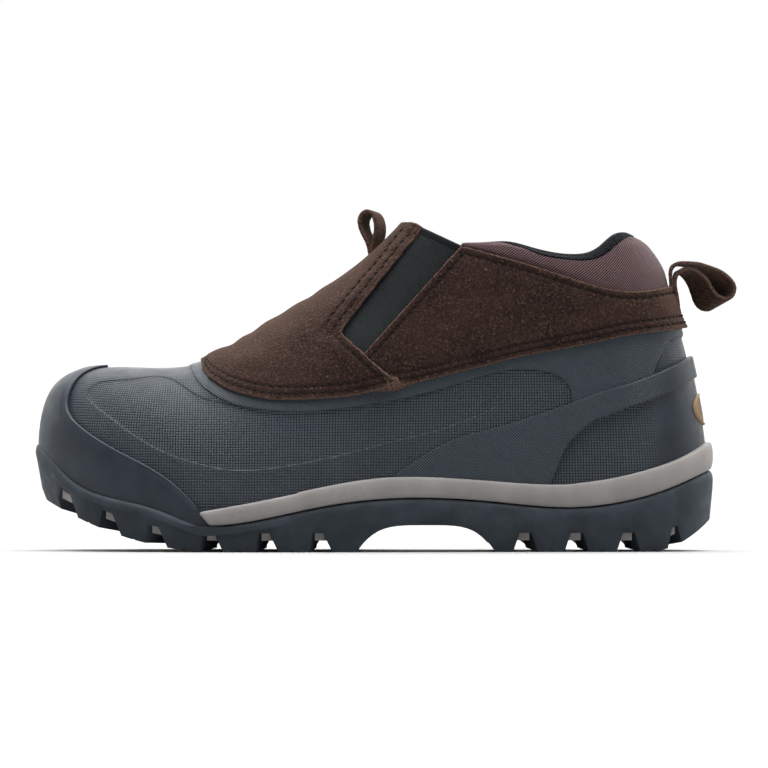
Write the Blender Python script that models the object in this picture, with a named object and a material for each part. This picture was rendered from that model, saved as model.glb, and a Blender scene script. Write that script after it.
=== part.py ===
"""Low slip-on snow boot for the left foot: a suede upper on a moulded rubber shell.

The tables are in millimetres and the meshes in metres. The toe points along -X, the
outer side of the foot faces -Y and +Z is up. The origin lies on the floor, under the
middle of the boot. "Along" is the distance from the back of the sole towards the toe.
"""
import bmesh
import bpy
import numpy as np

# Driving dimensions
MILLIMETRE = 0.001
SOLE_LENGTH = 305.0
LOOP_REACH = 10.4
CENTRE_ALONG = (SOLE_LENGTH - LOOP_REACH) / 2
GAP = 0.3
SHELL_WALL = 3.0
SHELL_SEAT = 0.5
SUEDE_WALL = 1.7
SUEDE_SEAT = 0.65
GORE_WALL = 1.8
GORE_SINK = 0.55
CAP_WALL = 1.2
CAP_SEAT = 0.8
STRAP_WALL = 1.5
STRAP_END_WIDTH = 2.0
INSOLE_WALL = 4.0
SUEDE_LAP = 7.0
COLLAR_LAP = 6.5

# Sections of the last from heel to toe. A rib rises from the feather line at the edge
# of the sole to the ridge on top of the foot. Behind the throat the ridge is the top
# of a leg that the mouth cuts off. A power of 2 makes the rib a quarter ellipse.
FORM_COLUMNS = ("along", "lateral", "medial", "feather",
                "ridge_along", "ridge_across", "ridge_height", "power", "inset")
FORM = {
    "heel_back": (0, 0, 0, 36.5, 98, 0, 240, 1.5, 3.0),
    "heel_turn": (8, 24, 23.5, 33, 96, 0, 240, 1.55, 3.0),
    "heel_side": (29, 38.5, 37.5, 25.3, 93, 0, 240, 1.65, 3.0),
    "ankle": (62, 42, 39.5, 20, 91, 0, 238, 1.75, 3.0),
    "waist": (96, 43, 37.5, 22.2, 95, 0, 228, 1.8, 3.0),
    "throat": (126, 46, 38.5, 24.2, 111, 0.5, 187, 1.9, 3.0),
    "vamp_top": (149, 49.5, 42, 23.7, 138, 1, 148.5, 2, 3.0),
    "instep": (172, 53.5, 47.5, 21, 169, 2, 121, 2, 3.0),
    "ball_outer": (199, 56, 54, 15.5, 198, 3.5, 103, 2.05, 3.0),
    "ball_inner": (226, 54, 56.5, 11.8, 225, 5, 87, 2.2, 3.4),
    "toe_wide": (253, 46.5, 54, 15.5, 245, 6.5, 82.7, 2.5, 4.4),
    "toe_turn": (280, 31.5, 44, 24, 258, 8, 82.8, 2.8, 4.4),
    "toe_shoulder": (297, 13, 30, 33, 264, 9, 83, 3, 4.4),
    "toe_tip": (305, -9.5, 9.5, 38, 266, 9.5, 83, 3, 4.4),
}
FREE_COLUMNS = ("lateral", "medial")
LAST = len(FORM) - 1

# Lines drawn in side view: (along, height)
SUEDE_HEM = ((11, 100), (51, 94), (87, 87.8), (123, 79), (150, 73.6), (177, 70), (190, 69.8),
             (204, 71), (213, 74), (222, 79), (226, 82.5), (232, 88.5))
SUEDE_TOP = ((20, 118), (40, 117), (51, 119), (69, 125.5), (87, 132), (105, 137), (112, 138),
             (130, 146.5), (138, 150.5))
MOUTH = ((40, 144), (47, 141.8), (53, 136.6), (63.5, 134), (80, 137), (96, 140), (112, 139.5))
STRAP_TOP = ((10, 87.8), (28, 81), (51, 73.8), (69, 67.5), (87, 61.7), (105, 55), (127, 43.7),
             (145, 32))
STRAP_FOOT = ((7, 76), (24, 71.5), (42, 64.8), (51, 60), (60, 54), (67, 46), (73, 32), (80, 15))
STRIPE_TOP = ((0, 48), (8, 43.5), (29, 36), (62, 30), (96, 31), (126, 33), (149, 32.7),
              (172, 29.3), (199, 23.8), (231, 18))
BED_TOP = ((0, 40), (10, 36.5), (29, 32), (60, 30), (126, 29.5), (172, 25.5), (226, 18),
           (253, 20.5), (280, 28.5), (305, 41.5))
BUMPER_TOP = ((231, 11.3), (242, 15.7), (253, 19.8), (274, 24.8), (285, 28.8), (293, 34.6),
              (298, 40.5), (305, 48.5))

# The toe cap's upper border: place along the loop of sections, share of the rib covered
CAP_BORDER = ((9.25, 0.05), (9.57, 0.103), (10.4, 0.172), (11.45, 0.24), (11.8, 0.3),
              (11.95, 0.4), (12.05, 0.58), (12.15, 0.74), (12.4, 0.88), (13, 0.945))

# The gore slot in side view, and how far the elastic runs on under the suede
SLOT = {"top_front": (129.6, 146.0), "top_rear": (112.9, 138.0),
        "foot_rear": (151.6, 88.5), "foot_front": (165.6, 101.5)}
GORE_MARGIN = {"front": 3.0, "rear": 1.5, "foot": 3.0}
SLOT_OVERRUN = 14.0
SLOT_REACH = 70.0

# Tread grooves: centre, width at the top, slope behind, slope in front, slant inwards
GROOVE_COLUMNS = ("centre", "width", "behind", "ahead", "slant")
GROOVES = ((16.7, 2.5, 2.0, 2.0, 0), (38, 5.5, 2.8, 2.8, 5), (61.5, 5.5, 2.8, 2.8, 5),
           (84.5, 5.5, 2.8, 2.8, 5), (177.4, 4.5, 4.2, 1.5, -5), (201.7, 4.5, 4.2, 1.5, -5),
           (226.7, 4.5, 4.2, 1.5, -5), (252, 4.5, 4.2, 1.5, -5), (273, 4.5, 4.2, 1.5, -3),
           (293, 4.5, 4.2, 1.5, 0))
LUG_MIDDLES = (0.8, 3.2, 7.5, 27, 238, 261, 282, 301, 303.7)
GROOVE_DEPTH = 8.5
GROOVE_CORE = 5.2
LUG_CORE = 1.0
ARCH_MIDDLE = 129.0
ARCH_HALF = 31.0
ARCH_DEPTH = 12.0
ARCH_SHARES = (-1, -0.88, -0.6, 0, 0.6, 0.88, 1)
HEEL_ROLL = 30.0
HEEL_ROLL_RATE = 0.022
TOE_SPRING = 222.0
TOE_SPRING_RATE = 0.00375
RING_WIDTH = 16.0
RIM_WIDTH = 3.5
LIP_WIDTH = 2.5
LIP_ROUND = 1.2
LIP_DROP = 2.0
LUG_LEAN = 1.5
SIDE_LEAN = 0.3

# The midsole: its bulged stripe, the cup wall under the shell and its place in the toe
STRIPE_BULGE = 1.5
STRIPE_END = 230.0
CUP_TOP = 6.6
CUP_FOOT = 7.6
TOE_INSET = 7.9
TOE_SQUEEZE = 0.1
SHELL_DROP = (230.7, 232.2)

# Heel badge: middle height, half width and half height of the oval
BADGE_HEIGHT = 63.5
BADGE_HALF_WIDTH = 16.5
BADGE_HALF_HEIGHT = 6.75

# Pull loops in side view, from one sewn end round to the other: (along, height)
FRONT_LOOP = ((153.6, 138.6), (156.0, 141.5), (158.3, 145.5), (159.0, 149.0), (158.0, 152.4),
              (155.6, 153.5), (153.2, 152.4), (151.0, 150.3), (149.1, 147.4), (148.9, 144.2),
              (150.4, 141.2))
FRONT_LOOP_STRIP = {"middle": 3.0, "width": 9.0, "thickness": 1.6}
BACK_LOOP = ((15.0, 113.2), (14.4, 119.5), (12.9, 124.6), (9.6, 126.4), (5.9, 123.8),
             (2.4, 118.2), (-1.4, 114.8), (-6.2, 114.9), (-9.3, 118.8), (-7.3, 123.5),
             (-0.9, 127.4), (5.8, 129.6), (12.6, 130.0), (17.2, 128.6), (18.8, 125.4),
             (18.4, 120.4))
BACK_LOOP_STRIP = {"middle": 0.0, "width": 11.0, "thickness": 1.8}

# Sampling
STATIONS = np.unique(np.concatenate([np.linspace(0, 2, 9), np.linspace(2, 10, 17),
                                     np.linspace(10, LAST, 11)]).round(3))
THROAT_STATIONS = np.linspace(4.75, 6.25, 4)
CLOSING_STEPS = np.array([0.05, 0.15, 0.3])
NUDGE = 0.01
ROUNDS = 12
WELD = 0.002
SEARCH = np.linspace(0, LAST, 1301)
ROWS = {"shell": 8, "toe_cap": 7, "heel_strap": 3, "upper": 8}
SHARP_EDGE = 35.0

# Finishes: colour, roughness
FINISHES = {
    "shell_rubber": ((0.034, 0.043, 0.054), 0.55),
    "sole_rubber": ((0.026, 0.033, 0.041), 0.6),
    "stripe_rubber": ((0.22, 0.19, 0.175), 0.6),
    "suede": ((0.05, 0.028, 0.022), 0.9),
    "elastic": ((0.016, 0.017, 0.019), 0.8),
    "twill": ((0.075, 0.05, 0.047), 0.85),
    "footbed": ((0.02, 0.022, 0.026), 0.9),
    "badge_leather": ((0.28, 0.17, 0.08), 0.6),
}


def smooth(places, values, flat_ends=False):
    """A cubic curve through rows of (place, value), which keeps its end values outside."""
    places = np.asarray(places, float)
    values = np.asarray(values, float)
    steps = np.diff(places)
    rates = np.diff(values) / steps
    count = len(places)
    system = np.zeros((count, count))
    right = np.zeros(count)
    for row in range(1, count - 1):
        before, after = steps[row - 1], steps[row]
        system[row, row - 1:row + 2] = after, 2 * (before + after), before
        right[row] = 3 * (after * rates[row - 1] + before * rates[row])
    for end, inner, rate in ((0, 1, rates[0]), (count - 1, count - 2, rates[-1])):
        system[end, end] = 2
        if not flat_ends:
            system[end, inner] = 1
            right[end] = 3 * rate
    slopes = np.linalg.solve(system, right)

    def read(where):
        where = np.clip(where, places[0], places[-1])
        step = np.clip(np.searchsorted(places, where) - 1, 0, count - 2)
        width = steps[step]
        part = (where - places[step]) / width
        rest = 1 - part
        return (values[step] * rest**2 * (1 + 2 * part) + slopes[step] * width * part * rest**2
                + values[step + 1] * part**2 * (1 + 2 * rest)
                - slopes[step + 1] * width * rest * part**2)

    return read


def side_line(rows):
    """A smooth height along the boot from rows of (along, height)."""
    return smooth(*zip(*rows))


column = {name: smooth(range(LAST + 1), values, name not in FREE_COLUMNS)
          for name, values in zip(FORM_COLUMNS, zip(*FORM.values()))}
suede_hem = side_line(SUEDE_HEM)
suede_top = side_line(SUEDE_TOP)
mouth = side_line(MOUTH)
strap_top = side_line(STRAP_TOP)
strap_foot = side_line(STRAP_FOOT)
stripe_top = side_line(STRIPE_TOP)
bed_top = side_line(BED_TOP)
bumper_top = side_line(BUMPER_TOP)
cap_border = side_line(CAP_BORDER)


def outline(turn):
    """The sole's edge in plan. Turn counts the sections: 0 at the heel, + outer, - inner."""
    turn = np.mod(turn + LAST, 2 * LAST) - LAST
    spread = np.abs(turn)
    across = np.where(turn > 0, -column["lateral"](spread), column["medial"](spread))
    return np.stack([CENTRE_ALONG - column["along"](spread), across], axis=-1)


def sole_edge(turn, inset):
    """The sole's edge pulled in by inset along its own normal."""
    turn = np.asarray(turn, float)
    run = outline(turn + NUDGE) - outline(turn - NUDGE)
    run = run / np.linalg.norm(run, axis=-1, keepdims=True)
    outward = np.stack([-run[..., 1], run[..., 0]], axis=-1)
    return outline(turn) - outward * np.asarray(inset)[..., None]


def form(turn, angle):
    """A point of the boot's outer form: round the sole by turn, up its rib by angle."""
    spread = np.abs(turn)
    base = sole_edge(turn, column["inset"](spread))
    ridge = np.stack([CENTRE_ALONG - column["ridge_along"](spread),
                      column["ridge_across"](spread)], axis=-1)
    share = 2 / column["power"](spread)
    inward = 1 - np.clip(np.cos(angle), 0, 1)**share
    rise = np.clip(np.sin(angle), 0, 1)**share
    feather = column["feather"](spread)
    plan = base + (ridge - base) * inward[..., None]
    height = feather + (column["ridge_height"](spread) - feather) * rise
    return np.concatenate([plan, height[..., None]], axis=-1)


def along_of(points):
    """Distance of points from the back of the sole towards the toe."""
    return CENTRE_ALONG - points[..., 0]


def rib_angle(turn, height):
    """The angle at which a rib reaches a height, at most its ridge."""
    spread = np.abs(turn)
    feather = column["feather"](spread)
    level = np.clip((height - feather) / (column["ridge_height"](spread) - feather), 0, 1)
    return np.arcsin(level**(column["power"](spread) / 2))


def angle_on(turn, line, lift=0.0):
    """The angle at which each rib crosses a line drawn in side view, raised by lift."""
    angle = np.full_like(turn, 0.5)
    for _ in range(ROUNDS):
        angle = rib_angle(turn, line(along_of(form(turn, angle))) + lift)
    return angle


def turn_of(along):
    """The turn at which the sole's edge reaches a distance along."""
    return np.interp(along, column["along"](SEARCH), SEARCH)


def turn_at(along, height):
    """The turn whose rib passes a place in side view."""
    return np.interp(along, along_of(form(SEARCH, rib_angle(SEARCH, height))), SEARCH)


def ridge_meeting(line, low, high, lift=0.0):
    """The turn between two others at which a line in side view reaches the ridge."""
    range_turns = SEARCH[(SEARCH > low) & (SEARCH < high)]
    ridge = column["ridge_height"](range_turns)
    return np.interp(0, line(column["ridge_along"](range_turns)) + lift - ridge, range_turns)


def both_sides(half):
    """Turns from the inner side round the heel to the outer side."""
    return np.concatenate([-half[:0:-1], half])


def stations_between(low, high, *extra):
    """The shared stations inside a range, with its ends and any extra ones."""
    inside = STATIONS[(STATIONS > low + 0.05) & (STATIONS < high - 0.05)]
    return np.unique(np.concatenate([[low], inside, [high], extra]))


def rib_sheet(turns, low, high, rows):
    """Points on the form between two angles of each rib."""
    share = np.linspace(0, 1, rows + 1)
    angles = low[:, None] + (high - low)[:, None] * share
    return form(np.repeat(turns[:, None], rows + 1, axis=1), angles)


def form_normal(turn, angle):
    """The outward normal of the form, away from its ridge."""
    around = form(turn + NUDGE, angle) - form(turn - NUDGE, angle)
    upward = form(turn, angle + NUDGE) - form(turn, angle - NUDGE)
    normal = np.cross(upward, around)
    return normal / np.linalg.norm(normal, axis=-1, keepdims=True)


def finish(name):
    """A plain material of one colour and roughness."""
    material = bpy.data.materials.get(name)
    if material is None:
        colour, roughness = FINISHES[name]
        material = bpy.data.materials.new(name)
        material.use_nodes = True
        shader = material.node_tree.nodes["Principled BSDF"]
        shader.inputs["Base Color"].default_value = (*colour, 1)
        shader.inputs["Roughness"].default_value = roughness
        material.diffuse_color = (*colour, 1)
    return material


def add_object(name, shape, finish_name):
    """Put a mesh in the scene under its name, shaded smooth and with its finish."""
    mesh = bpy.data.meshes.new(name)
    shape.to_mesh(mesh)
    shape.free()
    mesh.shade_smooth()
    mesh.set_sharp_from_angle(angle=np.radians(SHARP_EDGE))
    mesh.materials.append(finish(finish_name))
    piece = bpy.data.objects.new(name, mesh)
    bpy.context.scene.collection.objects.link(piece)
    return piece


def point_grid(shape, points):
    """Vertices for a grid of points in millimetres."""
    return [[shape.verts.new(point * MILLIMETRE) for point in line] for line in points]


def weld(shape):
    """Join the points that fall together, such as two ribs at the ridge."""
    bmesh.ops.remove_doubles(shape, verts=shape.verts, dist=WELD * MILLIMETRE)


def wall(name, points, outer, inner, finish_name):
    """A sheet of points given a wall between two distances from it."""
    shape = bmesh.new()
    grid = point_grid(shape, points)
    for left, right in zip(grid, grid[1:]):
        for low in range(len(left) - 1):
            shape.faces.new((left[low], left[low + 1], right[low + 1], right[low]))
    weld(shape)
    piece = add_object(name, shape, finish_name)
    solidify = piece.modifiers.new("wall", "SOLIDIFY")
    solidify.thickness = (outer - inner) * MILLIMETRE
    solidify.offset = (outer + inner) / (outer - inner)
    solidify.use_quality_normals = True
    return piece


def sweep(name, sections, finish_name, closed_run=False):
    """A solid through closed sections, which runs in a ring or is capped at its ends."""
    shape = bmesh.new()
    grid = point_grid(shape, sections)
    runs = list(zip(grid, grid[1:]))
    if closed_run:
        runs.append((grid[-1], grid[0]))
    for one, other in runs:
        for corner in range(len(one)):
            shape.faces.new((one[corner - 1], one[corner], other[corner], other[corner - 1]))
    if not closed_run:
        shape.faces.new(grid[0])
        shape.faces.new(grid[-1])
    weld(shape)
    bmesh.ops.recalc_face_normals(shape, faces=shape.faces)
    return add_object(name, shape, finish_name)


def slab(name, rings, finish_name):
    """A solid through rings round the sole, closed at both ends from side to side."""
    shape = bmesh.new()
    grid = point_grid(shape, rings)
    count = len(grid[0])
    for one, other in zip(grid, grid[1:]):
        for place in range(count):
            shape.faces.new((one[place - 1], one[place], other[place], other[place - 1]))
    for ring in (grid[0], grid[-1]):
        for place in range(count // 2):
            facing = (ring[place], ring[place + 1], ring[count - place - 1], ring[-place])
            shape.faces.new(list(dict.fromkeys(facing)))
    weld(shape)
    bmesh.ops.recalc_face_normals(shape, faces=shape.faces)
    return add_object(name, shape, finish_name)


def strip(name, route, strip_size, finish_name, count=26):
    """A flat strip that follows a route in side view, with its width from side to side."""
    route = np.asarray(route, float)
    travel = np.concatenate([[0], np.cumsum(np.linalg.norm(np.diff(route, axis=0), axis=1))])
    along, height = smooth(travel, route[:, 0]), smooth(travel, route[:, 1])
    marks = np.linspace(0, travel[-1], count)
    middle = np.stack([CENTRE_ALONG - along(marks), height(marks)], axis=1)
    run = np.gradient(middle, axis=0)
    run = run / np.linalg.norm(run, axis=1, keepdims=True)
    outward = np.stack([-run[:, 1], run[:, 0]], axis=1) * strip_size["thickness"] / 2
    corners = []
    for face, side in ((1, -0.5), (1, 0.5), (-1, 0.5), (-1, -0.5)):
        plan = middle + face * outward
        across = np.full(count, strip_size["middle"] + side * strip_size["width"])
        corners.append(np.stack([plan[:, 0], across, plan[:, 1]], axis=1))
    return sweep(name, np.stack(corners, axis=1), finish_name)


def loop_of(half):
    """Turns once round the sole, from the heel along the outer side and back."""
    return np.concatenate([half, -half[-2:0:-1]])


def floor_at(along):
    """How far the underside of the tread stands off the floor: heel roll and toe spring."""
    behind = np.clip(HEEL_ROLL - along, 0, None)
    ahead = np.clip(along - TOE_SPRING, 0, None)
    return HEEL_ROLL_RATE * behind**2 + TOE_SPRING_RATE * ahead**2


def tread_rows():
    """Stations of the tread from heel to toe: outer along, inner along, cut, core."""
    rows = [(0, 0, 0, LUG_CORE), (SOLE_LENGTH, SOLE_LENGTH, 0, LUG_CORE)]
    slant_places = []
    for groove in GROOVES:
        size = dict(zip(GROOVE_COLUMNS, groove))
        slant_places.append((size["centre"], size["slant"]))
        rear = size["centre"] - size["width"] / 2
        front = size["centre"] + size["width"] / 2
        for along, cut, core in ((rear - size["behind"], 0, LUG_CORE),
                                 (rear, GROOVE_DEPTH, GROOVE_CORE),
                                 (front, GROOVE_DEPTH, GROOVE_CORE),
                                 (front + size["ahead"], 0, LUG_CORE)):
            rows.append((along, along + size["slant"], cut, core))
    slants = np.array(slant_places)
    for along in LUG_MIDDLES:
        rows.append((along, along + np.interp(along, *slants.T), 0, LUG_CORE))
    for share in ARCH_SHARES:
        along = ARCH_MIDDLE + share * ARCH_HALF
        cut = ARCH_DEPTH * (1 - share**4)
        rows.append((along, along, cut, max(cut + 2 * GAP, LUG_CORE)))
    return np.array(sorted(rows)).T


def raised(plan, height):
    """Plan points lifted to their heights."""
    return np.concatenate([plan, np.broadcast_to(height, plan.shape[:-1])[..., None]], axis=-1)


def tread_loop():
    """The tread's stations once round the sole, each with its outer and inner turn."""
    outer, inner, cut, core = tread_rows()
    mirrored = np.concatenate([np.arange(len(outer)), np.arange(len(outer) - 2, 0, -1)])
    return loop_of(turn_of(outer)), loop_of(turn_of(inner)), cut[mirrored], core[mirrored]


def plate_top(turn):
    """The seat of the outsole under the edge of the shell and the midsole."""
    return column["feather"](np.abs(turn)) - GAP


def inner_seat(plan):
    """The seat further in, where the outsole's ring meets the tread's core."""
    return column["feather"](turn_of(along_of(plan))) - GAP


def make_outsole():
    """Rubber ring with lugs, chevron grooves, an arch and a bumper round the toe."""
    outer, inner, cut, _ = tread_loop()
    plate = plate_top(outer)
    along = column["along"](np.abs(outer))
    top = np.where(along > BUMPER_TOP[0][0], np.maximum(plate, bumper_top(along)), plate)
    roof = np.maximum(cut, GROOVE_DEPTH) + LUG_CORE

    def edge(turn, inset, lift):
        plan = sole_edge(turn, inset)
        return raised(plan, floor_at(along_of(plan)) + lift)

    ring_plan = sole_edge(inner, RING_WIDTH)
    sections = (edge(outer, LUG_LEAN, cut), edge(outer, SIDE_LEAN, roof),
                raised(sole_edge(outer, 0.0), top - LIP_DROP),
                raised(sole_edge(outer, LIP_ROUND), top), raised(sole_edge(outer, LIP_WIDTH), top),
                raised(sole_edge(outer, RIM_WIDTH), plate),
                raised(ring_plan, inner_seat(ring_plan)), edge(inner, RING_WIDTH, cut))
    return sweep("outsole", np.stack(sections, axis=1), "sole_rubber", closed_run=True)


def make_midsole():
    """Taupe layer: a bulged stripe at the side, a seat for the footbed and the tread's core."""
    outer, inner, _, core = tread_loop()
    along = column["along"](np.abs(outer))
    feather = column["feather"](np.abs(outer))
    in_toe = along > STRIPE_END
    top = np.where(in_toe, bed_top(along), stripe_top(along))
    shift = np.where(in_toe, TOE_INSET, 0.0)
    squeeze = np.where(in_toe, TOE_SQUEEZE, 1.0)
    core_plan = sole_edge(inner, RING_WIDTH + GAP)
    rings = (raised(sole_edge(outer, shift + CUP_FOOT * squeeze), bed_top(along)),
             raised(sole_edge(outer, shift + CUP_TOP * squeeze), top),
             raised(sole_edge(outer, shift + STRIPE_BULGE * squeeze), top),
             raised(sole_edge(outer, shift), (top + feather) / 2),
             raised(sole_edge(outer, shift + STRIPE_BULGE * squeeze), feather),
             raised(sole_edge(outer, shift + RIM_WIDTH * squeeze), feather),
             raised(core_plan, inner_seat(core_plan) + GAP),
             raised(core_plan, floor_at(along_of(core_plan)) + core))
    return slab("midsole", np.stack(rings), "stripe_rubber")


def make_insole():
    """Footbed on the seat inside the midsole."""
    turns = tread_loop()[0]
    bed = bed_top(column["along"](np.abs(turns)))
    plan = sole_edge(turns, TOE_INSET + 1)
    rings = (raised(plan, bed + GAP + INSOLE_WALL), raised(plan, bed + GAP))
    return slab("insole", np.stack(rings), "footbed")


def shell_foot(turns):
    """Where the shell's wall starts: on the stripe, and on the outsole round the toe."""
    along = column["along"](np.abs(turns))
    feather = column["feather"](np.abs(turns))
    drop = np.interp(along, SHELL_DROP, (0, 1))
    return (stripe_top(along) + SHELL_SEAT) * (1 - drop) + feather * drop


def make_shell():
    """Moulded rubber lower, closed over the toe and open along the throat and below."""
    closing = ridge_meeting(suede_hem, 8, 9.5, SUEDE_LAP)
    half = stations_between(0, LAST, closing, *(closing - CLOSING_STEPS),
                            *turn_of(np.array(SHELL_DROP)))
    turns = both_sides(half)
    low = rib_angle(turns, shell_foot(turns))
    high = angle_on(turns, suede_hem, SUEDE_LAP)
    high = np.where(np.abs(turns) >= closing, np.pi / 2, high)
    sheet = rib_sheet(turns, low, high, ROWS["shell"])
    return wall("shell", sheet, 0, -SHELL_WALL, "shell_rubber")


def make_toe_cap():
    """Smooth overlay round the toe, from the bumper to its own border."""
    half = stations_between(CAP_BORDER[0][0], LAST, *[turn for turn, _ in CAP_BORDER[4:-1]])
    turns = np.concatenate([half, -half[-2::-1]])
    spread = np.abs(turns)
    along = column["along"](spread)
    foot = np.maximum(plate_top(turns), bumper_top(along)) + 2 * GAP
    low = rib_angle(turns, foot)
    high = np.maximum(cap_border(spread) * np.pi / 2, low + 0.02)
    sheet = rib_sheet(turns, low, high, ROWS["toe_cap"])
    return wall("toe_cap", sheet, CAP_SEAT + CAP_WALL, CAP_SEAT, "shell_rubber")


def make_heel_strap():
    """Raised band that sweeps from the stripe up and round the heel."""
    run = np.linspace(STRAP_TOP[-3][0], STRAP_TOP[-1][0], 81)
    end = np.interp(-STRAP_END_WIDTH, stripe_top(run) - strap_top(run), run)
    turns = both_sides(stations_between(0, turn_of(end)))
    foot = rib_angle(turns, stripe_top(column["along"](np.abs(turns))) + 2 * GAP)
    low = np.maximum(angle_on(turns, strap_foot), foot)
    high = np.maximum(angle_on(turns, strap_top), low + 0.002)
    sheet = rib_sheet(turns, low, high, ROWS["heel_strap"])
    return wall("heel_strap", sheet, GAP + STRAP_WALL, GAP, "shell_rubber")


def make_slot_cutter():
    """Prism through both sides of the upper, shaped as the gore slot in side view."""
    corner = {name: np.array(place) for name, place in SLOT.items()}
    rise = corner["top_front"] - corner["foot_front"]
    rise = rise / np.linalg.norm(rise) * SLOT_OVERRUN
    border = (corner["foot_front"], corner["top_front"] + rise,
              corner["top_rear"] + rise, corner["foot_rear"])
    sections = [[(CENTRE_ALONG - along, across, height) for along, height in border]
                for across in (-SLOT_REACH, SLOT_REACH)]
    cutter = sweep("slot_cutter", np.array(sections), "suede")
    cutter.hide_render = True
    cutter.display_type = "WIRE"
    return cutter


def make_upper():
    """Suede vamp and quarters in one wall, open at the mouth, the gore slots and below."""
    tip = ridge_meeting(suede_hem, 8, 9.5)
    peak = ridge_meeting(suede_top, 5, 6.5)
    turns = both_sides(stations_between(0, tip, peak, *THROAT_STATIONS, *(tip - CLOSING_STEPS),
                                        *(peak - CLOSING_STEPS)))
    low = angle_on(turns, suede_hem)
    high = angle_on(turns, suede_top)
    high = np.where(np.abs(turns) >= peak, np.pi / 2, high)
    low = np.where(np.abs(turns) >= tip, np.pi / 2, low)
    sheet = rib_sheet(turns, low, high, ROWS["upper"])
    upper = wall("upper", sheet, SUEDE_SEAT + SUEDE_WALL, SUEDE_SEAT, "suede")
    cut = upper.modifiers.new("gore_slots", "BOOLEAN")
    cut.operation = "DIFFERENCE"
    cut.object = make_slot_cutter()
    return upper


def make_gore(name, side):
    """Elastic behind one slot; side is 1 on the outer and -1 on the inner half."""
    corner = {key: np.array(place) for key, place in SLOT.items()}
    across = corner["top_rear"] - corner["top_front"]
    across = across / np.linalg.norm(across)
    down = corner["foot_front"] - corner["top_front"]
    down = down / np.linalg.norm(down) * GORE_MARGIN["foot"]
    front = -across * GORE_MARGIN["front"]
    rear = across * GORE_MARGIN["rear"]
    columns = []
    for share in np.linspace(0, 1, 5):
        top = (corner["top_front"] + front) * (1 - share) + (corner["top_rear"] + rear) * share
        foot = ((corner["foot_front"] + front) * (1 - share)
                + (corner["foot_rear"] + rear) * share + down)
        places = [foot + (top - foot) * part for part in np.linspace(0, 1, 9)]
        turns = np.array([side * turn_at(*place) for place in places])
        heights = np.array([height for _, height in places])
        columns.append(form(turns, rib_angle(turns, heights)))
    if side > 0:
        columns.reverse()
    return wall(name, np.array(columns), -GORE_SINK, -GORE_SINK - GORE_WALL, "elastic")


def make_collar():
    """Padded cuff behind the gores: tucked under the suede, rolled over at the mouth."""
    front = turn_at(108.0, 137.0)
    turns = both_sides(stations_between(0, front))
    spread = np.abs(turns)
    edge_angle = angle_on(turns, suede_top)
    edge = form(turns, edge_angle)[:, 2]
    top = form(turns, angle_on(turns, mouth))[:, 2]
    rise = top - edge
    thick = np.interp(spread, (0, 2, front), (9, 7, 5))
    puff = np.interp(spread, (0, 2, front), (0.3, 1.4, 0.8))
    middle = (top + edge) / 2 - COLLAR_LAP
    rows = ((edge - COLLAR_LAP, 0 * puff), (edge + 0.5, 0 * puff), (edge + 0.35 * rise, puff),
            (edge + 0.75 * rise, puff), (top - 1.2, -0.12 * thick), (top, -0.4 * thick),
            (top - 1.2, -0.75 * thick), (top - 6, -thick), (middle, -thick),
            (edge - COLLAR_LAP, -0.8 * thick))
    section = []
    for height, offset in rows:
        angle = rib_angle(turns, height)
        section.append(form(turns, angle) + form_normal(turns, angle) * offset[:, None])
    return sweep("collar", np.stack(section, axis=1), "twill")


def make_badge():
    """Blank oval patch wrapped round the back of the heel."""
    columns = []
    for share in np.linspace(-1, 1, 9):
        points = []
        for part in np.linspace(-1, 1, 7):
            height = BADGE_HEIGHT + BADGE_HALF_HEIGHT * np.sin(part * np.pi / 2)
            across = share * BADGE_HALF_WIDTH * np.cos(part * np.pi / 2)
            near = -SEARCH[SEARCH < 3] * np.sign(across or 1)
            reach = np.abs(form(near, rib_angle(near, height))[:, 1])
            turn = np.array([np.interp(abs(across), reach, near)])
            points.append(form(turn, rib_angle(turn, height))[0])
        columns.append(points)
    columns.reverse()
    return wall("heel_badge", np.array(columns), GAP + STRAP_WALL, GAP, "badge_leather")


for existing in list(bpy.data.objects):
    bpy.data.objects.remove(existing, do_unlink=True)

make_outsole()
make_midsole()
make_insole()
make_shell()
make_toe_cap()
make_heel_strap()
make_upper()
make_gore("gore_lateral", 1)
make_gore("gore_medial", -1)
make_collar()
make_badge()
strip("front_loop", FRONT_LOOP, FRONT_LOOP_STRIP, "suede", count=20)
strip("back_loop", BACK_LOOP, BACK_LOOP_STRIP, "suede", count=28)
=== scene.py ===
# %% [markdown]
# # A low slip-on snow boot
# The real boot is a suede upper sewn onto a moulded rubber shell, over a two-colour sole.
# A plain solid model in real sizes comes first and is loaded here as a fixed frame. Each
# solid is then replaced by a finer mesh drawn from the same sections of the last, so
# nothing has to be fitted afterwards.

import bpy
import numpy as np
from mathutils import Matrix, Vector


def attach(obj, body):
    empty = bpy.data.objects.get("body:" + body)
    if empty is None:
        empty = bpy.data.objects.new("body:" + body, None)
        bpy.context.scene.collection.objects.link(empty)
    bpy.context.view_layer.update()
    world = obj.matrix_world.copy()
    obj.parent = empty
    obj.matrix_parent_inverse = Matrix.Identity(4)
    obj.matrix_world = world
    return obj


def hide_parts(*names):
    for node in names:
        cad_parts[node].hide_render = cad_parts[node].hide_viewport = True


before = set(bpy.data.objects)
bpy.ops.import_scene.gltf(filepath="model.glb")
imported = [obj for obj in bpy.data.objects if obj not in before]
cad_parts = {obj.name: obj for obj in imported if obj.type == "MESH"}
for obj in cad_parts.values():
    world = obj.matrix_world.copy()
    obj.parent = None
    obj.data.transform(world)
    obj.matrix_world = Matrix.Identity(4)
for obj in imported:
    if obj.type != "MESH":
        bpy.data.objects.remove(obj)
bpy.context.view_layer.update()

print("solids:", ", ".join(sorted(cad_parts)))

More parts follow.
